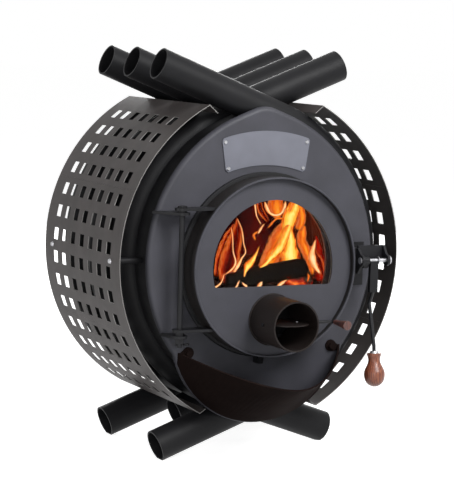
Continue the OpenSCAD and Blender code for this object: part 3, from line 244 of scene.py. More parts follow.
def cast_plate():
    """Die-cast zinc plate, blasted with fine grit: light grey, dull, with a tight even sparkle."""
    material, tree = blank_material("blasted_zinc")
    place = add(tree, "TexCoord", out="Object")
    grit = add(tree, "TexNoise", {"Vector": place, "Scale": 1 / (2.2 * MM), "Detail": 3.0})
    cloud = add(tree, "TexNoise", {"Vector": place, "Scale": 1 / (35 * MM)})
    tone = add(tree, "Mix", {"Factor": cloud, FIRST: "#65666f", SECOND: "#777983"}, **COLOURS)
    speck = add(tree, "Math", {0: grit, 1: 0.35}, operation="MULTIPLY")
    surface = {
        "Base Color": add(tree, "Mix", {"Factor": speck, FIRST: tone, SECOND: "#6f7079"}, **COLOURS),
        "Metallic": 0.35,
        "Roughness": 0.5,
        "Normal": add(tree, "Bump", {"Height": grit, "Distance": 0.15 * MM, "Strength": 0.5}),
    }
    add(tree, "OutputMaterial", {"Surface": add(tree, "BsdfPrincipled", surface)})
    return material


def turned_wood(name, light, dark, axis, roughness):
    """Oiled beech or plum turned on a lathe: rings drawn out along the grip, pores and darker late wood.

    axis turns the pattern so that its Z runs along the piece. Growth rings are 4 mm apart.
    """
    material, tree = blank_material(name)
    place = add(tree, "TexCoord", out="Object")
    grain = add(tree, "Mapping", {"Vector": place, "Rotation": axis, "Scale": (1, 1, 0.12)})
    wave = {
        "Vector": grain,
        "Scale": 1 / (math.pi * 4 * MM),
        "Distortion": 5.0,
        "Detail": 3.0,
        "Detail Scale": 1.6,
    }
    rings = add(tree, "TexWave", wave, out="Fac", wave_type="RINGS", rings_direction="Z")
    fibre = add(tree, "Mapping", {"Vector": place, "Rotation": axis, "Scale": (1, 1, 0.06)})
    pores = add(tree, "TexNoise", {"Vector": fibre, "Scale": 1 / (1.6 * MM)})
    solid = add(tree, "MapRange", {"Value": pores, "From Min": 0.38, "From Max": 0.5})
    tone = add(tree, "Mix", {"Factor": rings, FIRST: dark, SECOND: light}, **COLOURS)
    surface = {
        "Base Color": add(tree, "Mix", {"Factor": solid, FIRST: dark, SECOND: tone}, **COLOURS),
        "Roughness": roughness,
        "Coat Weight": 0.25,
        "Coat Roughness": 0.3,
        "Normal": add(tree, "Bump", {"Height": pores, "Distance": 0.2 * MM, "Strength": 0.4}),
    }
    add(tree, "OutputMaterial", {"Surface": add(tree, "BsdfPrincipled", surface)})
    return material


def stove_glass():
    """Clear glass ceramic: flat drawn sheet with a faint amber tint and soot haze in patches 70 mm across.

    Its index is near 1, because a flat pane at its real index veils the fire in grey.
    """
    material, tree = blank_material("glass_ceramic")
    place = add(tree, "TexCoord", out="Object")
    haze = add(tree, "TexNoise", {"Vector": place, "Scale": 1 / (70 * MM), "Detail": 3.0})
    rough = {"Value": haze, "From Min": 0.5, "From Max": 0.8, "To Min": 0.0, "To Max": 0.06}
    surface = {
        "Base Color": "#fff8f0",
        "Transmission Weight": 1.0,
        "IOR": 1.1,
        "Roughness": add(tree, "MapRange", rough),
    }
    add(tree, "OutputMaterial", {"Surface": add(tree, "BsdfPrincipled", surface)})
    return material


def glass_fibre(name, colour):
    """Braided or woven glass fibre: dull grey strands laid slantwise in the piece's UV, which is in metres.

    The wave's scale of 50 puts the strands 12.6 mm apart, coarser than the real ones, so that they show.
    """
    material, tree = blank_material(name)
    uv = add(tree, "TexCoord", out="UV")
    wave = {"Vector": uv, "Scale": 50.0, "Distortion": 1.0}
    strands = add(tree, "TexWave", wave, out="Fac", bands_direction="DIAGONAL")
    surface = {
        "Base Color": add(tree, "Mix", {"Factor": strands, FIRST: colour, SECOND: "#a8a297"}, **COLOURS),
        "Roughness": 0.95,
        "Sheen Weight": 0.3,
        "Normal": add(tree, "Bump", {"Height": strands, "Distance": 0.4 * MM}),
    }
    add(tree, "OutputMaterial", {"Surface": add(tree, "BsdfPrincipled", surface)})
    return material


def charred_log():
    """Burning beech: black charcoal cracked into plates 16 mm across, glowing in some of the cracks."""
    material, tree = blank_material("charred_beech")
    place = add(tree, "TexCoord", out="Object")
    warp = add(tree, "TexNoise", {"Vector": place, "Scale": 1 / (30 * MM), "Detail": 4.0})
    plates = add(tree, "TexVoronoi", {"Vector": place, "Scale": 1 / (16 * MM)}, feature="DISTANCE_TO_EDGE")
    near_edge = {"Value": plates, "From Min": 0.0, "From Max": 0.09, "To Min": 1, "To Max": 0}
    crack = add(tree, "MapRange", near_edge)
    hot = add(tree, "MapRange", {"Value": warp, "From Min": 0.64, "From Max": 0.8})
    glow = add(tree, "Math", {0: crack, 1: hot}, operation="MULTIPLY")
    char = [(0.3, "#020101"), (0.62, "#070404"), (0.82, "#16100e")]
    surface = {
        "Base Color": add(tree, "ValToRGB", {"Fac": warp}, stops=char),
        "Roughness": 0.9,
        "Specular IOR Level": 0.15,
        "Emission Color": "#ff4a08",
        "Emission Strength": add(tree, "Math", {0: glow, 1: 2.2}, operation="MULTIPLY"),
        "Normal": add(tree, "Bump", {"Height": plates, "Distance": 1.5 * MM}),
    }
    add(tree, "OutputMaterial", {"Surface": add(tree, "BsdfPrincipled", surface)})
    return material


def ember_bed():
    """Bed of embers and grey ash: lumps 20 mm across, red-hot between them in patches of 60 mm."""
    material, tree = blank_material("embers_and_ash")
    place = add(tree, "TexCoord", out="Object")
    lumps = add(tree, "TexVoronoi", {"Vector": place, "Scale": 1 / (20 * MM)})
    patch = add(tree, "TexNoise", {"Vector": place, "Scale": 1 / (60 * MM), "Detail": 3.0})
    heat = add(tree, "Math", {0: lumps, 1: patch}, operation="MULTIPLY")
    ash = [(0.0, "#4f4a46"), (0.5, "#1d1816"), (1.0, "#120c0a")]
    glow = [(0.2, "#5c0a04"), (0.34, "#b82208"), (0.5, "#ff8c30")]
    strength = {"Value": heat, "From Min": 0.18, "From Max": 0.42, "To Max": 1.3}
    surface = {
        "Base Color": add(tree, "ValToRGB", {"Fac": lumps}, stops=ash),
        "Roughness": 1.0,
        "Emission Color": add(tree, "ValToRGB", {"Fac": heat}, stops=glow),
        "Emission Strength": add(tree, "MapRange", strength),
        "Normal": add(tree, "Bump", {"Height": lumps, "Distance": 3 * MM}),
    }
    add(tree, "OutputMaterial", {"Surface": add(tree, "BsdfPrincipled", surface)})
    return material


def flame(name, stops, strength, wisp):
    """Wood flame, and painted firelight in the same shape: glows by itself, thin at its edges and its tip.

    Its colours run across the tongue from the middle to the edge, through (place, hex colour) stops. Long
    streaks, and curls about 11 mm across, shift them by up to wisp.
    """
    material, tree = blank_material(name)
    uv = add(tree, "TexCoord", out="UV")
    across = add(tree, "SeparateXYZ", {"Vector": uv}, out="X")
    along = add(tree, "SeparateXYZ", {"Vector": uv}, out="Y")
    slow = add(tree, "Math", {0: along, 1: 0.28}, operation="MULTIPLY")
    drawn_out = add(tree, "CombineXYZ", {"X": across, "Y": slow})
    fine = {"Vector": drawn_out, "Scale": 5.0, "Detail": 4.0, "Distortion": 1.5}
    streaks = add(tree, "TexNoise", fine)
    place = add(tree, "TexCoord", out="Object")
    rising = add(tree, "Mapping", {"Vector": place, "Scale": (1, 1, 0.45)})
    round_ones = {"Vector": rising, "Scale": 1 / (11 * MM), "Detail": 5.0, "Distortion": 1.2}
    curls = add(tree, "TexNoise", round_ones)
    wisps = add(tree, "Math", {0: streaks, 1: curls}, operation="ADD")
    span = {"Value": wisps, "From Min": 0.6, "From Max": 1.4, "To Min": -wisp, "To Max": wisp}
    shift = add(tree, "MapRange", span)
    shifted = add(tree, "Math", {0: across, 1: shift}, operation="ADD")
    tip = add(tree, "Math", {0: along, 1: 3.0}, operation="POWER")
    edge = add(tree, "Math", {0: tip, 1: 0.3, 2: shifted}, operation="MULTIPLY_ADD")
    fade = {"Value": edge, "From Min": 0.72, "From Max": 1.12, "To Min": 1, "To Max": 0}
    thin = add(tree, "MapRange", fade)
    foot = add(tree, "MapRange", {"Value": along, "From Min": 0.0, "From Max": 0.08})
    surface = {
        "Base Color": (0, 0, 0, 1),
        "Specular IOR Level": 0.0,
        "Emission Color": add(tree, "ValToRGB", {"Fac": edge}, stops=stops),
        "Emission Strength": strength,
        "Alpha": add(tree, "Math", {0: thin, 1: foot}, operation="MULTIPLY"),
    }
    add(tree, "OutputMaterial", {"Surface": add(tree, "BsdfPrincipled", surface)})
    return material


rim_front = corners("door_rim")[0][1]
plate_paint = stove_paint("grey_silicone_paint", "#3e3e44", "#46464d", 0.5)
# The side of the door's rim behind its lip carries painted shade, near-black
rim_paint = stove_paint(
    "grey_rim_paint_painted_shade", "#3e3e44", "#46464d", 0.5, shade_behind=rim_front + 2 * MM
)
seat_paint = stove_paint("black_seat_paint", "#141416", "#1a1a1c", 0.6)
tube_paint = stove_paint("black_silicone_paint", "#111113", "#171719", 0.52, specular=0.18)
apron_paint = stove_paint("black_sheet_paint", "#1b1413", "#221a18", 0.8, specular=0.02)
fitting_paint = stove_paint("black_hinge_paint", "#151517", "#1f1f22", 0.4, specular=0.2)
intake_paint = stove_paint("brown_black_paint", "#1c1716", "#241e1c", 0.5, specular=0.18)
left_powder = stove_paint("graphite_powder_left", "#464241", "#4e4948", 0.48, SHROUD_OFFSET, 0.14)
right_powder = stove_paint("graphite_powder_right", "#464241", "#4e4948", 0.48, -SHROUD_OFFSET, 0.14)
turned_steel = bare_steel("turned_steel", "#c9c9cc", 0.3)
zinc = cast_plate()
grip_wood = turned_wood("oiled_plum_wood", "#9a5a3c", "#6a3220", (0.35, 0, 0), 0.42)
knob_wood = turned_wood("smoked_beech", "#6a3c34", "#38201c", (math.pi / 2, 0, 0), 0.5)
glass = stove_glass()
rope_fibre = glass_fibre("braided_glass_rope", "#7d776c")
tape_fibre = glass_fibre("woven_glass_tape", "#8f8a7e")
charcoal = charred_log()
embers = ember_bed()
bright_flame = flame(
    "bright_wood_flame",
    [(0.0, "#ffe88a"), (0.3, "#ffcf58"), (0.55, "#f99c30"), (0.8, "#dc5210"), (1.0, "#5a0e00")],
    1.2,
    0.5,
)
orange_flame = flame(
    "orange_wood_flame",
    [(0.0, "#ffa02c"), (0.35, "#f4761a"), (0.65, "#c8400a"), (0.85, "#f08a48"), (1.0, "#520c00")],
    1.0,
    0.5,
)
pale_flame = flame(
    "pale_wood_flame",
    [(0.0, "#ffe4b4"), (0.45, "#ffc078"), (0.75, "#f07a3c"), (1.0, "#8c1c08")],
    1.1,
    0.5,
)
red_flame = flame(
    "red_wood_flame",
    [
        (0.0, "#300404"),
        (0.35, "#6c0e04"),
        (0.64, "#b02c08"),
        (0.84, "#f08034"),
        (0.94, "#e0541a"),
        (1.0, "#4a0800"),
    ],
    1.0,
    0.45,
)
# Two dim red glowing sheets: painted firelight, the fire's red glow on the inside of the firebox
back_firelight = flame("painted_firelight_back", [(0.0, "#4e0a06"), (0.5, "#280404"), (1.0, "#0e0202")], 1.0, 0.6)
side_firelight = flame("painted_firelight_side", [(0.0, "#a81806"), (0.5, "#700c04"), (1.0, "#1c0202")], 1.0, 0.5)

FINISH = {
    plate_paint: "front_plate door_panel",
    rim_paint: "door_rim",
    seat_paint: "door_seat",
    tube_paint: "warm_air_tube_1 warm_air_tube_2 warm_air_tube_3 warm_air_tube_4 warm_air_tube_5 "
    "warm_air_tube_6 left_wall_strips right_wall_strips back_plate shroud_standoffs flue_spigot "
    "baffle_plate air_injectors door_seal_ring air_deflector",
    apron_paint: "ash_apron apron_bolts",
    intake_paint: "air_intake air_flap",
    fitting_paint: "door_rest hinge_plate_upper hinge_plate_lower hinge_pin hinge_spacers hinge_nut "
    "hinge_cotter latch_keeper door_hinge_plate_upper door_hinge_plate_lower latch_bracket latch_lever "
    "latch_hook air_flap_spindle flue_flap_spindle flue_flap",
    left_powder: "left_shroud",
    right_powder: "right_shroud",
    turned_steel: "name_plate_screws shroud_screws glass_clips clip_screws latch_spindle latch_washers "
    "handle_ferrule air_flap_screws flue_flap_screws",
    zinc: "name_plate",
    grip_wood: "wooden_handle",
    knob_wood: "air_damper_knob flue_damper_knob",
    glass: "window_glass",
    rope_fibre: "door_seal_rope",
    tape_fibre: "glass_gasket",
}
for material, names in FINISH.items():
    for name in names.split():
        mesh = nodes[name].data
        mesh.materials.clear()
        mesh.materials.append(material)


# Weld beads


def tube_weld(name, tube, plate_face, stand_off, bead, material, body):
    """Weld bead round a tube where it meets a plate: a ring whose section swells once a ripple, 3 mm apart.

    r = bead (1 + 0.12 cos(n a)), and R is the tube's radius with the stand-off added.
    """
    low, high = corners(tube)
    centre = np.array([0, plate_face, (low[2] + high[2]) / 2])
    radius = (high[0] - low[0]) / 2 + stand_off
    ripples = round(TAU * radius / (3 * MM))
    a = np.linspace(0, TAU, 4 * ripples, endpoint=False)
    b = np.linspace(0, TAU, 10, endpoint=False)
    section = bead * (1 + 0.12 * np.cos(ripples * a))[:, None]
    points, faces = ring_round_y(centre, radius, section, a, b)
    mesh_piece(name, points, faces, material, body)


panel_front = corners("door_panel")[0][1]
back_plate_rear = corners("back_plate")[1][1]
tube_weld("intake_weld", "air_intake", panel_front - 0.6 * MM, 0.6 * MM, 2 * MM, intake_paint, "door")
tube_weld("spigot_weld", "flue_spigot", back_plate_rear + 0.8 * MM, 0.8 * MM, 2.6 * MM, tube_paint, "stove")

# Seal rope and gasket tape: the soft solids of the CAD, made as what they are


def seal_rope():
    """Braided rope in a ring: r = rope radius (1 - 0.05 |cos(n a + 4 b)| - 0.05 |cos(n a - 4 b)|).

    The plait repeats every 18 mm. Its UV is in metres along and round the rope.
    """
    low, high = corners("door_seal_rope")
    rope_radius = (high[1] - low[1]) / 2
    radius = (high[0] - low[0]) / 2 - rope_radius
    plaits = round(TAU * radius / (9 * MM)) // 2
    a = np.linspace(0, TAU, 12 * plaits, endpoint=False)
    b = np.linspace(0, TAU, 28, endpoint=False)
    wave = np.abs(np.cos(plaits * a[:, None] + 4 * b)) + np.abs(np.cos(plaits * a[:, None] - 4 * b))
    points, faces = ring_round_y((low + high) / 2, radius, rope_radius * (1 - 0.05 * wave), a, b)
    piece = mesh_piece("braided_seal_rope", points, faces, rope_fibre, "door")
    add_uv(piece, *np.meshgrid(a * radius, b * rope_radius, indexing="ij"))
    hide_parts("door_seal_rope")


def arch_loop(r, sill, corner):
    """Half-round loop as x and z round its disc's centre, and the outward direction at each point.

    It is an arc of radius r cut off at the height sill, with both corners rounded.
    """
    x = math.sqrt((r - corner) ** 2 - (sill + corner) ** 2)
    tilt = math.atan2(sill + corner, x)
    arcs = [
        ((0, 0), r, tilt, math.pi - tilt, 64),
        ((-x, sill + corner), corner, math.pi - tilt, 1.5 * math.pi, 8),
        ((x, sill + corner), corner, 1.5 * math.pi, TAU + tilt, 8),
    ]
    loop, out = [], []
    for centre, radius, start, end, count in arcs:
        a = np.linspace(start, end, count)
        way = np.stack([np.cos(a), np.sin(a)], axis=1)
        loop.append(np.array(centre) + radius * way)
        out.append(way)
    return np.concatenate(loop), np.concatenate(out)


def window_tape():
    """Woven tape laid flat round the window: a rounded strip 12 mm wide carried round the arch.

    Its section is w |cos b|^0.3 across and t |sin b|^0.4 thick, each with its sign. Its UV is in metres.
    """
    low, high = corners("glass_gasket")
    half_window = (high[0] - low[0]) / 2
    lap = 12 * MM
    centre_z = high[2] - half_window
    inner_sill = low[2] - centre_z + lap
    path, out = arch_loop(half_window - lap / 2, inner_sill - lap / 2, 8 * MM)
    b = np.linspace(0, TAU, 16, endpoint=False)
    width = lap / 2 * 0.96 * np.sign(np.cos(b)) * np.abs(np.cos(b)) ** 0.3
    thick = (high[1] - low[1]) / 2 * 0.97 * np.sign(np.sin(b)) * np.abs(np.sin(b)) ** 0.4
    count = len(path)
    middle_y = np.full(count, (low[1] + high[1]) / 2)
    ring = np.stack([path[:, 0], middle_y, centre_z + path[:, 1]], axis=1)
    outward = np.stack([out[:, 0], np.zeros(count), out[:, 1]], axis=1)
    along = np.tile([0.0, 1.0, 0.0], (count, 1))
    points, faces = sweep(ring, np.tile(width, (count, 1)), np.tile(thick, (count, 1)), outward, along)
    piece = mesh_piece("woven_window_tape", points, faces, tape_fibre, "door")
    length = np.concatenate([[0], np.cumsum(np.linalg.norm(np.diff(path, axis=0), axis=1))])
    add_uv(piece, *np.meshgrid(length, width, indexing="ij"))
    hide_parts("glass_gasket")


seal_rope()
window_tape()

# Wood fire. It is drawn for its looks and rides on the stove


def ripple(rng, count, *fields):
    """Sum of sines of the fields with random directions and phases, falling off with their frequency."""
    total = np.zeros(np.broadcast(*fields).shape)
    for k in range(1, count + 1):
        phase = rng.uniform(0, TAU)
        way = rng.uniform(-1, 1, len(fields)) * k
        total = total + np.sin(sum(w * f for w, f in zip(way, fields)) + phase) / k
    return total / 2


def log(name, start, end, radius, material, seed):
    """Charred log: a closed tube from start to end whose middle bows up by 0.12 of its radius R.

    r = R (1 - 0.16 |cos(1.5 a + phase)|^3) (1 + 0.1 bark) (0.02 + 0.98 dome): split clefts along it, bark
    that is a sum of sines round and along it, and dome = sqrt(1 - |2 s - 1|^14), which rounds its ends.
    """
    rng = np.random.default_rng(seed)
    start, end = (FIRE_ORIGIN + MM * np.array(point) for point in (start, end))
    axis = (end - start) / np.linalg.norm(end - start)
    side = np.cross(axis, [0, 0, 1])
    side /= np.linalg.norm(side)
    rise = np.cross(side, axis)
    rows, columns = 40, 40
    s = np.linspace(0, 1, rows)[:, None]
    a = np.linspace(0, TAU, columns, endpoint=False)[None, :]
    split = 1 - 0.16 * np.abs(np.cos(1.5 * a + rng.uniform(0, TAU))) ** 3
    dome = (1 - np.abs(2 * s - 1) ** 14) ** 0.5
    bark = 1 + 0.10 * ripple(rng, 9, 3 * np.cos(a) + 0 * s, 3 * np.sin(a) + 0 * s, 6 * s + 0 * a)
    r = radius * MM * split * bark * (0.02 + 0.98 * dome)
    bow = 0.12 * radius * MM * np.sin(math.pi * s)
    points = start + (end - start) * s[..., None] + (r * np.cos(a))[..., None] * side
    points, faces = closed_tube(points + (r * np.sin(a) + bow)[..., None] * rise)
    mesh_piece(name, points, faces, material, "stove")


def ember_mound():
    """Bed of embers: a lens with an oval outline, domed above with lumps and dished below, in millimetres.

    Its top is base + crown (1 - r^2) + lumps (1 - r^8), and its underside base - dish (1 - r^2).
    """
    rng = np.random.default_rng(5)
    rings, spokes = 60, 120
    half_width, half_depth, middle_depth = 122, 158, 190
    base, crown, dish = -165, 26, 52
    r = np.linspace(0, 1, rings)[1:, None]
    a = np.linspace(0, TAU, spokes, endpoint=False)[None, :]
    x, y = half_width * r * np.cos(a), half_depth * r * np.sin(a)
    lumps = 5 * ripple(rng, 14, x / 30, y / 30) + 3 * ripple(rng, 10, x / 9, y / 9)
    top = base + crown * (1 - r**2) + lumps * (1 - r**8)
    low = base - dish * (1 - r[:-1] ** 2) + 0 * a
    upper = np.stack([x, middle_depth + y, top], axis=2)
    lower = np.stack([x[:-1], middle_depth + y[:-1], low], axis=2)[::-1]
    points, faces = closed_tube(np.concatenate([upper, lower]))
    outward_faces = [face[::-1] for face in faces]
    mesh_piece("ember_bed", FIRE_ORIGIN + MM * points, outward_faces, embers, "stove")


def through(points, count):
    """Smooth curve through rows of points: a Catmull-Rom spline, with count rows."""
    points = np.array(points, float)
    ends = np.concatenate([2 * points[:1] - points[1:2], points, 2 * points[-1:] - points[-2:-1]])
    t = np.linspace(0, len(points) - 1, count)
    i = np.minimum(t.astype(int), len(points) - 2)
    f = (t - i)[:, None]
    a, b, c, d = (ends[i + k] for k in range(4))
    return 0.5 * (2 * b + (c - a) * f + (2 * a - 5 * b + 4 * c - d) * f**2 + (3 * b - a - 3 * c + d) * f**3)


def tongue(name, material, depth, flutter, spine):
    """Tongue of flame: a lens section carried along a curve in an upright plane and closed at both ends.

    depth is its y, and spine holds x, z and half width, in millimetres. The width flutters along the
    length, as hot gas does: half width (1 + flutter times a sum of sines). u is 1 at the edges, v runs up.
    """
    rng = np.random.default_rng(len(name) + 7 * len(spine) + round(depth))
    rows, columns = 18 * len(spine), 20
    curve = through(spine, rows)
    s = np.linspace(0, 1, rows)
    flow = ripple(rng, 9, 16 * s)
    half = np.maximum(curve[:, 2], 0.3) * (1 + flutter * flow) * (1 - np.abs(2 * s - 1) ** 24) ** 0.5
    half = np.maximum(half, 0.05)
    tangent = np.gradient(curve[:, :2], axis=0)
    tangent /= np.linalg.norm(tangent, axis=1)[:, None]
    side = np.stack([tangent[:, 1], -tangent[:, 0]], axis=1)
    b = np.linspace(0, TAU, columns, endpoint=False)
    across = half[:, None] * np.cos(b)
    x = curve[:, :1] + across * side[:, :1]
    y = depth + 3 * ripple(rng, 5, 6 * s)[:, None] + np.minimum(0.45 * half, 6)[:, None] * np.sin(b)
    z = curve[:, 1:2] + across * side[:, 1:]
    points, faces = closed_tube(np.stack([x, y, z], axis=2))
    piece = mesh_piece(name, FIRE_ORIGIN + MM * points, faces, material, "stove")
    u = np.concatenate([np.tile(np.abs(np.cos(b)), rows), [0, 0]])
    v = np.concatenate([np.repeat(s, columns), [0, 1]])
    add_uv(piece, u, v)


# Each log: its two ends and its radius
LOGS = [
    ((-108, 105, -122), (104, 92, -126), 25),
    ((-102, 196, -124), (112, 210, -120), 27),
    ((-96, 290, -122), (98, 278, -126), 24),
    ((-52, 58, -78), (-38, 296, -76), 24),
    ((66, 62, -80), (48, 300, -78), 25),
    ((-38, 76, -56), (134, 70, -27), 20),
    ((96, 108, -58), (176, 112, -72), 17),
    ((-66, 130, -34), (128, 170, -30), 22),
    ((-122, 76, -84), (10, 62, -63), 14),
]
# Each tongue: its name, look, depth, flutter, and the x, z and half width of its spine from the foot up
TONGUES = [
    ("flame_column", bright_flame, 98, 0.1, [
        (112, -48, 16), (112, -26, 22), (109, -8, 23), (108, 9, 15), (107, 25, 12), (101, 46, 13),
        (104, 64, 18), (112, 82, 16), (120, 100, 10),
    ]),
    ("flame_slope", bright_flame, 70, 0.12, [
        (26, -37, 2), (33, -26, 5), (46, -14, 5), (60, 0, 8), (73, 15, 11), (83, 34, 10), (92, 56, 8),
    ]),
    ("flame_veil", orange_flame, 122, 0.2, [
        (60, -52, 8), (70, -30, 14), (82, -11, 22), (93, 8, 24), (101, 28, 20), (108, 54, 12),
    ]),
    ("flame_shoulder", orange_flame, 104, 0.15, [
        (166, -48, 4), (159, -24, 8), (147, 3, 12), (138, 22, 11), (139, 38, 10), (142, 50, 5),
    ]),
    ("flame_crown", orange_flame, 95, 0.12, [(126, 42, 8), (132, 63, 10), (130, 81, 9), (121, 98, 6)]),
    ("flame_spear", pale_flame, 60, 0.1, [
        (158, -40, 1), (146, -26, 6), (138, -10, 9), (137, 3, 7), (140, 15, 4), (144, 27, 1),
    ]),
    ("flame_right", red_flame, 86, 0.15, [(178, -48, 4), (168, -24, 10), (159, -4, 7), (148, 12, 2)]),
    ("flame_left", red_flame, 90, 0.12, [
        (-34, -56, 10), (-31, -28, 17), (-22, 0, 19), (-14, 30, 16), (-10, 53, 8), (-11, 69, 1),
    ]),
    ("flame_far_left", red_flame, 100, 0.14, [
        (-48, -44, 5), (-42, -12, 9), (-31, 18, 10), (-21, 39, 7), (-13, 57, 2),
    ]),
    ("flame_edge_1", pale_flame, 75, 0.2, [
        (-25, -42, 1), (-20, -29, 4), (-12, -18, 3.5), (-6, -7, 2), (2, 5, 1.6), (-3, 22, 1.4),
        (-8, 48, 1.6), (-19, 70, 1),
    ]),
    ("flame_edge_2", pale_flame, 78, 0.2, [
        (-42, -38, 1), (-27, -27, 2), (-19, -13, 2), (-23, 7, 1.3), (-25, 32, 1.3), (-29, 52, 1),
    ]),
    ("flame_low_left", pale_flame, 56, 0.2, [(-72, -59, 2), (-62, -52, 2), (-56, -40, 1.2), (-52, -32, 0.6)]),
    ("flame_small", bright_flame, 60, 0.1, [
        (-8, -44, 1.4), (-6, -31, 3), (0, -18, 8.5), (9, -8, 6), (16, 5, 2.6), (22, 17, 0.6),
    ]),
    ("flame_bulb", orange_flame, 116, 0.06, [(88, 62, 3), (87, 74, 14), (85, 88, 18), (85, 106, 16)]),
    ("flame_cup", pale_flame, 100, 0.15, [
        (97, 100, 2), (95, 86, 3.4), (87, 75, 3), (76, 72, 2.2), (64, 77, 3.4), (57, 87, 4), (53, 98, 2),
    ]),
    ("flame_top_left", pale_flame, 112, 0.2, [(51, 53, 1), (42, 69, 1.3), (38, 86, 1.8), (36, 98, 1.6)]),
    ("flame_top_veil", red_flame, 118, 0.2, [(71, 58, 2), (59, 72, 7), (51, 86, 7), (47, 100, 5)]),
    ("flame_arch", orange_flame, 96, 0.2, [
        (58, 47, 1), (66, 57, 2.1), (76, 65, 2.1), (87, 66, 2.6), (97, 60, 1.3),
    ]),
    ("flame_curl_1", pale_flame, 84, 0.2, [(32, 38, 1), (34, 46, 2.6), (40, 52, 2), (46, 57, 0.6)]),
    ("flame_curl_2", orange_flame, 84, 0.2, [(26, 26, 1), (23, 37, 2.6), (29, 44, 1.2)]),
    ("flame_curl_3", orange_flame, 84, 0.2, [(83, 27, 1), (74, 34, 2.6), (70, 30, 1.7), (66, 26, 0.6)]),
    ("flame_lick_1", pale_flame, 30, 0.1, [(4, -57, 2), (10, -52, 4.7), (15, -46, 0.6)]),
    ("flame_lick_2", pale_flame, 30, 0.1, [(46, -57, 2), (55, -52, 4), (68, -44, 0.6)]),
    ("flame_lick_3", pale_flame, 30, 0.1, [(-17, -55, 2), (-23, -51, 2.2), (-28, -46, 0.6)]),
    ("flame_lick_4", pale_flame, 30, 0.1, [(-42, -56, 1.6), (-37, -49, 1.8), (-33, -42, 0.6)]),
    # Painted firelight: broad dim sheets behind the flames, glowing deep red
    ("flame_dusk_left", back_firelight, 236, 0.1, [
        (-70, -90, 50), (-20, -20, 56), (20, 50, 50), (40, 110, 30),
    ]),
    ("flame_dusk_right", back_firelight, 244, 0.1, [
        (90, -90, 50), (100, -20, 62), (110, 50, 52), (110, 110, 30),
    ]),
    # Painted firelight: the fire's red glow on the right wall of the firebox
    ("flame_far_right", side_firelight, 132, 0.1, [(198, -66, 12), (196, -30, 15), (190, 0, 11), (184, 26, 4)]),
    ("flame_lick_5", orange_flame, 34, 0.1, [(116, -51, 1), (118, -41, 2.2), (114, -34, 0.6)]),
]
ember_mound()
for number, (start, end, radius) in enumerate(LOGS, 1):
    log("log_%d" % number, start, end, radius, charcoal, number + 2)
log("glowing_brand", (72, 44, -58), (132, 48, -51), 9, embers, 21)
for row in TONGUES:
    tongue(*row)

# Camera, lamps and background

camera = bpy.data.objects.new("camera", bpy.data.cameras.new("camera"))
bpy.context.scene.collection.objects.link(camera)
bpy.context.scene.camera = camera
eye = np.array([-1.7018, -3.4033, 0.8116])
aim = np.array([-0.0761, -0.1603, 0.396])
roll = math.radians(1.55)
forward = (aim - eye) / np.linalg.norm(aim - eye)
right = np.cross(forward, [0, 0, 1])
right /= np.linalg.norm(right)
up = np.cross(right, forward)
right, up = right * math.cos(roll) + up * math.sin(roll), up * math.cos(roll) - right * math.sin(roll)
turn = np.eye(4)
turn[:3, 0], turn[:3, 1], turn[:3, 2], turn[:3, 3] = right, up, -forward, eye
camera.matrix_world = mathutils.Matrix(turn.tolist())
camera.data.sensor_fit = "HORIZONTAL"
camera.data.sensor_width = 36
camera.data.lens = 156.04
camera.data.clip_start, camera.data.clip_end = 0.1, 100

# The fire's own light on the firebox walls. It doesn't show in the glass
fire_glow = bpy.data.objects.new("fire_glow", bpy.data.lights.new("fire_glow", "POINT"))
fire_glow.data.energy = 9
fire_glow.data.color = (1.0, 0.1, 0.02)
fire_glow.data.shadow_soft_size = 0.05
fire_glow.location = FIRE_ORIGIN + MM * np.array([60, 150, 20])
fire_glow.visible_transmission = False
fire_glow.visible_glossy = False
bpy.context.scene.collection.objects.link(fire_glow)

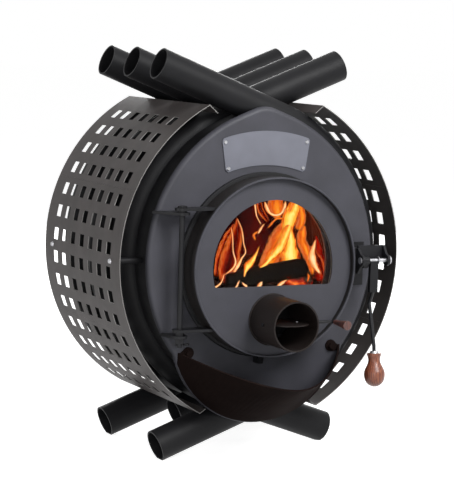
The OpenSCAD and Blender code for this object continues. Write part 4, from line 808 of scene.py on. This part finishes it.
# Square soft boxes, all turned to the stove's middle: place, side and power
STOVE_MIDDLE = mathutils.Vector((0, 0, 0.38))
SOFT_BOXES = {
    "key_box": ((0.5, -1.8, 1.8), 1.0, 52),
    "fill_box": ((-1.7, -3.0, 0.8), 1.1, 22),
    "left_box": ((-3.2, 0.2, 1.1), 1.6, 27),
    "top_box": ((0.2, 0.4, 3.2), 1.4, 2),
    "rear_box": ((1.6, 3.4, 1.3), 1.8, 95),
}
for name, (place, side, power) in SOFT_BOXES.items():
    lamp = bpy.data.objects.new(name, bpy.data.lights.new(name, "AREA"))
    lamp.data.size = side
    lamp.data.energy = power
    lamp.location = place
    lamp.rotation_euler = (STOVE_MIDDLE - lamp.location).to_track_quat("-Z", "Y").to_euler()
    bpy.context.scene.collection.objects.link(lamp)


def seen_rays(tree):
    """1 on rays by which the background is seen: straight, through glass, or mirrored; else 0."""
    straight = add(tree, "LightPath", out="Is Camera Ray")
    through_glass = add(tree, "LightPath", out="Is Transmission Ray")
    mirrored = add(tree, "LightPath", out="Is Glossy Ray")
    seen = add(tree, "Math", {0: straight, 1: through_glass}, operation="MAXIMUM")
    return add(tree, "Math", {0: seen, 1: mirrored}, operation="MAXIMUM")


world = bpy.data.worlds.new("studio")
bpy.context.scene.world = world
world.use_nodes = True
tree = world.node_tree
tree.nodes.clear()
studio = add(tree, "Background", {"Color": "#ffffff", "Strength": 0.17})
white = add(tree, "Background", {"Color": "#ffffff", "Strength": 1.0})
backdrop = add(tree, "MixShader", {0: seen_rays(tree), 1: studio, 2: white})
add(tree, "OutputWorld", {"Surface": backdrop})

bpy.context.scene.view_settings.view_transform = "Standard"

# The floor glows to white where it is seen, and is plain grey to the light that falls on the stove from it
floor_paint, tree = blank_material("white_floor")
matt = add(tree, "BsdfDiffuse", {"Color": "#707070"})
pale = add(tree, "BsdfDiffuse", {"Color": "#d8d8d8"})
glow = add(tree, "Emission", {"Color": "#ffffff", "Strength": 0.88})
lit = add(tree, "AddShader", {0: pale, 1: glow})
cover = add(tree, "MixShader", {0: seen_rays(tree), 1: matt, 2: lit})
add(tree, "OutputMaterial", {"Surface": cover})
FLOOR_HALF = 30
floor_mesh = bpy.data.meshes.new("floor")
floor_mesh.from_pydata(
    [(x * FLOOR_HALF, y * FLOOR_HALF, 0) for x, y in ((-1, -1), (1, -1), (1, 1), (-1, 1))],
    [],
    [(0, 1, 2, 3)],
)
floor_mesh.materials.append(floor_paint)
floor = bpy.data.objects.new("floor", floor_mesh)
bpy.context.scene.collection.objects.link(floor)
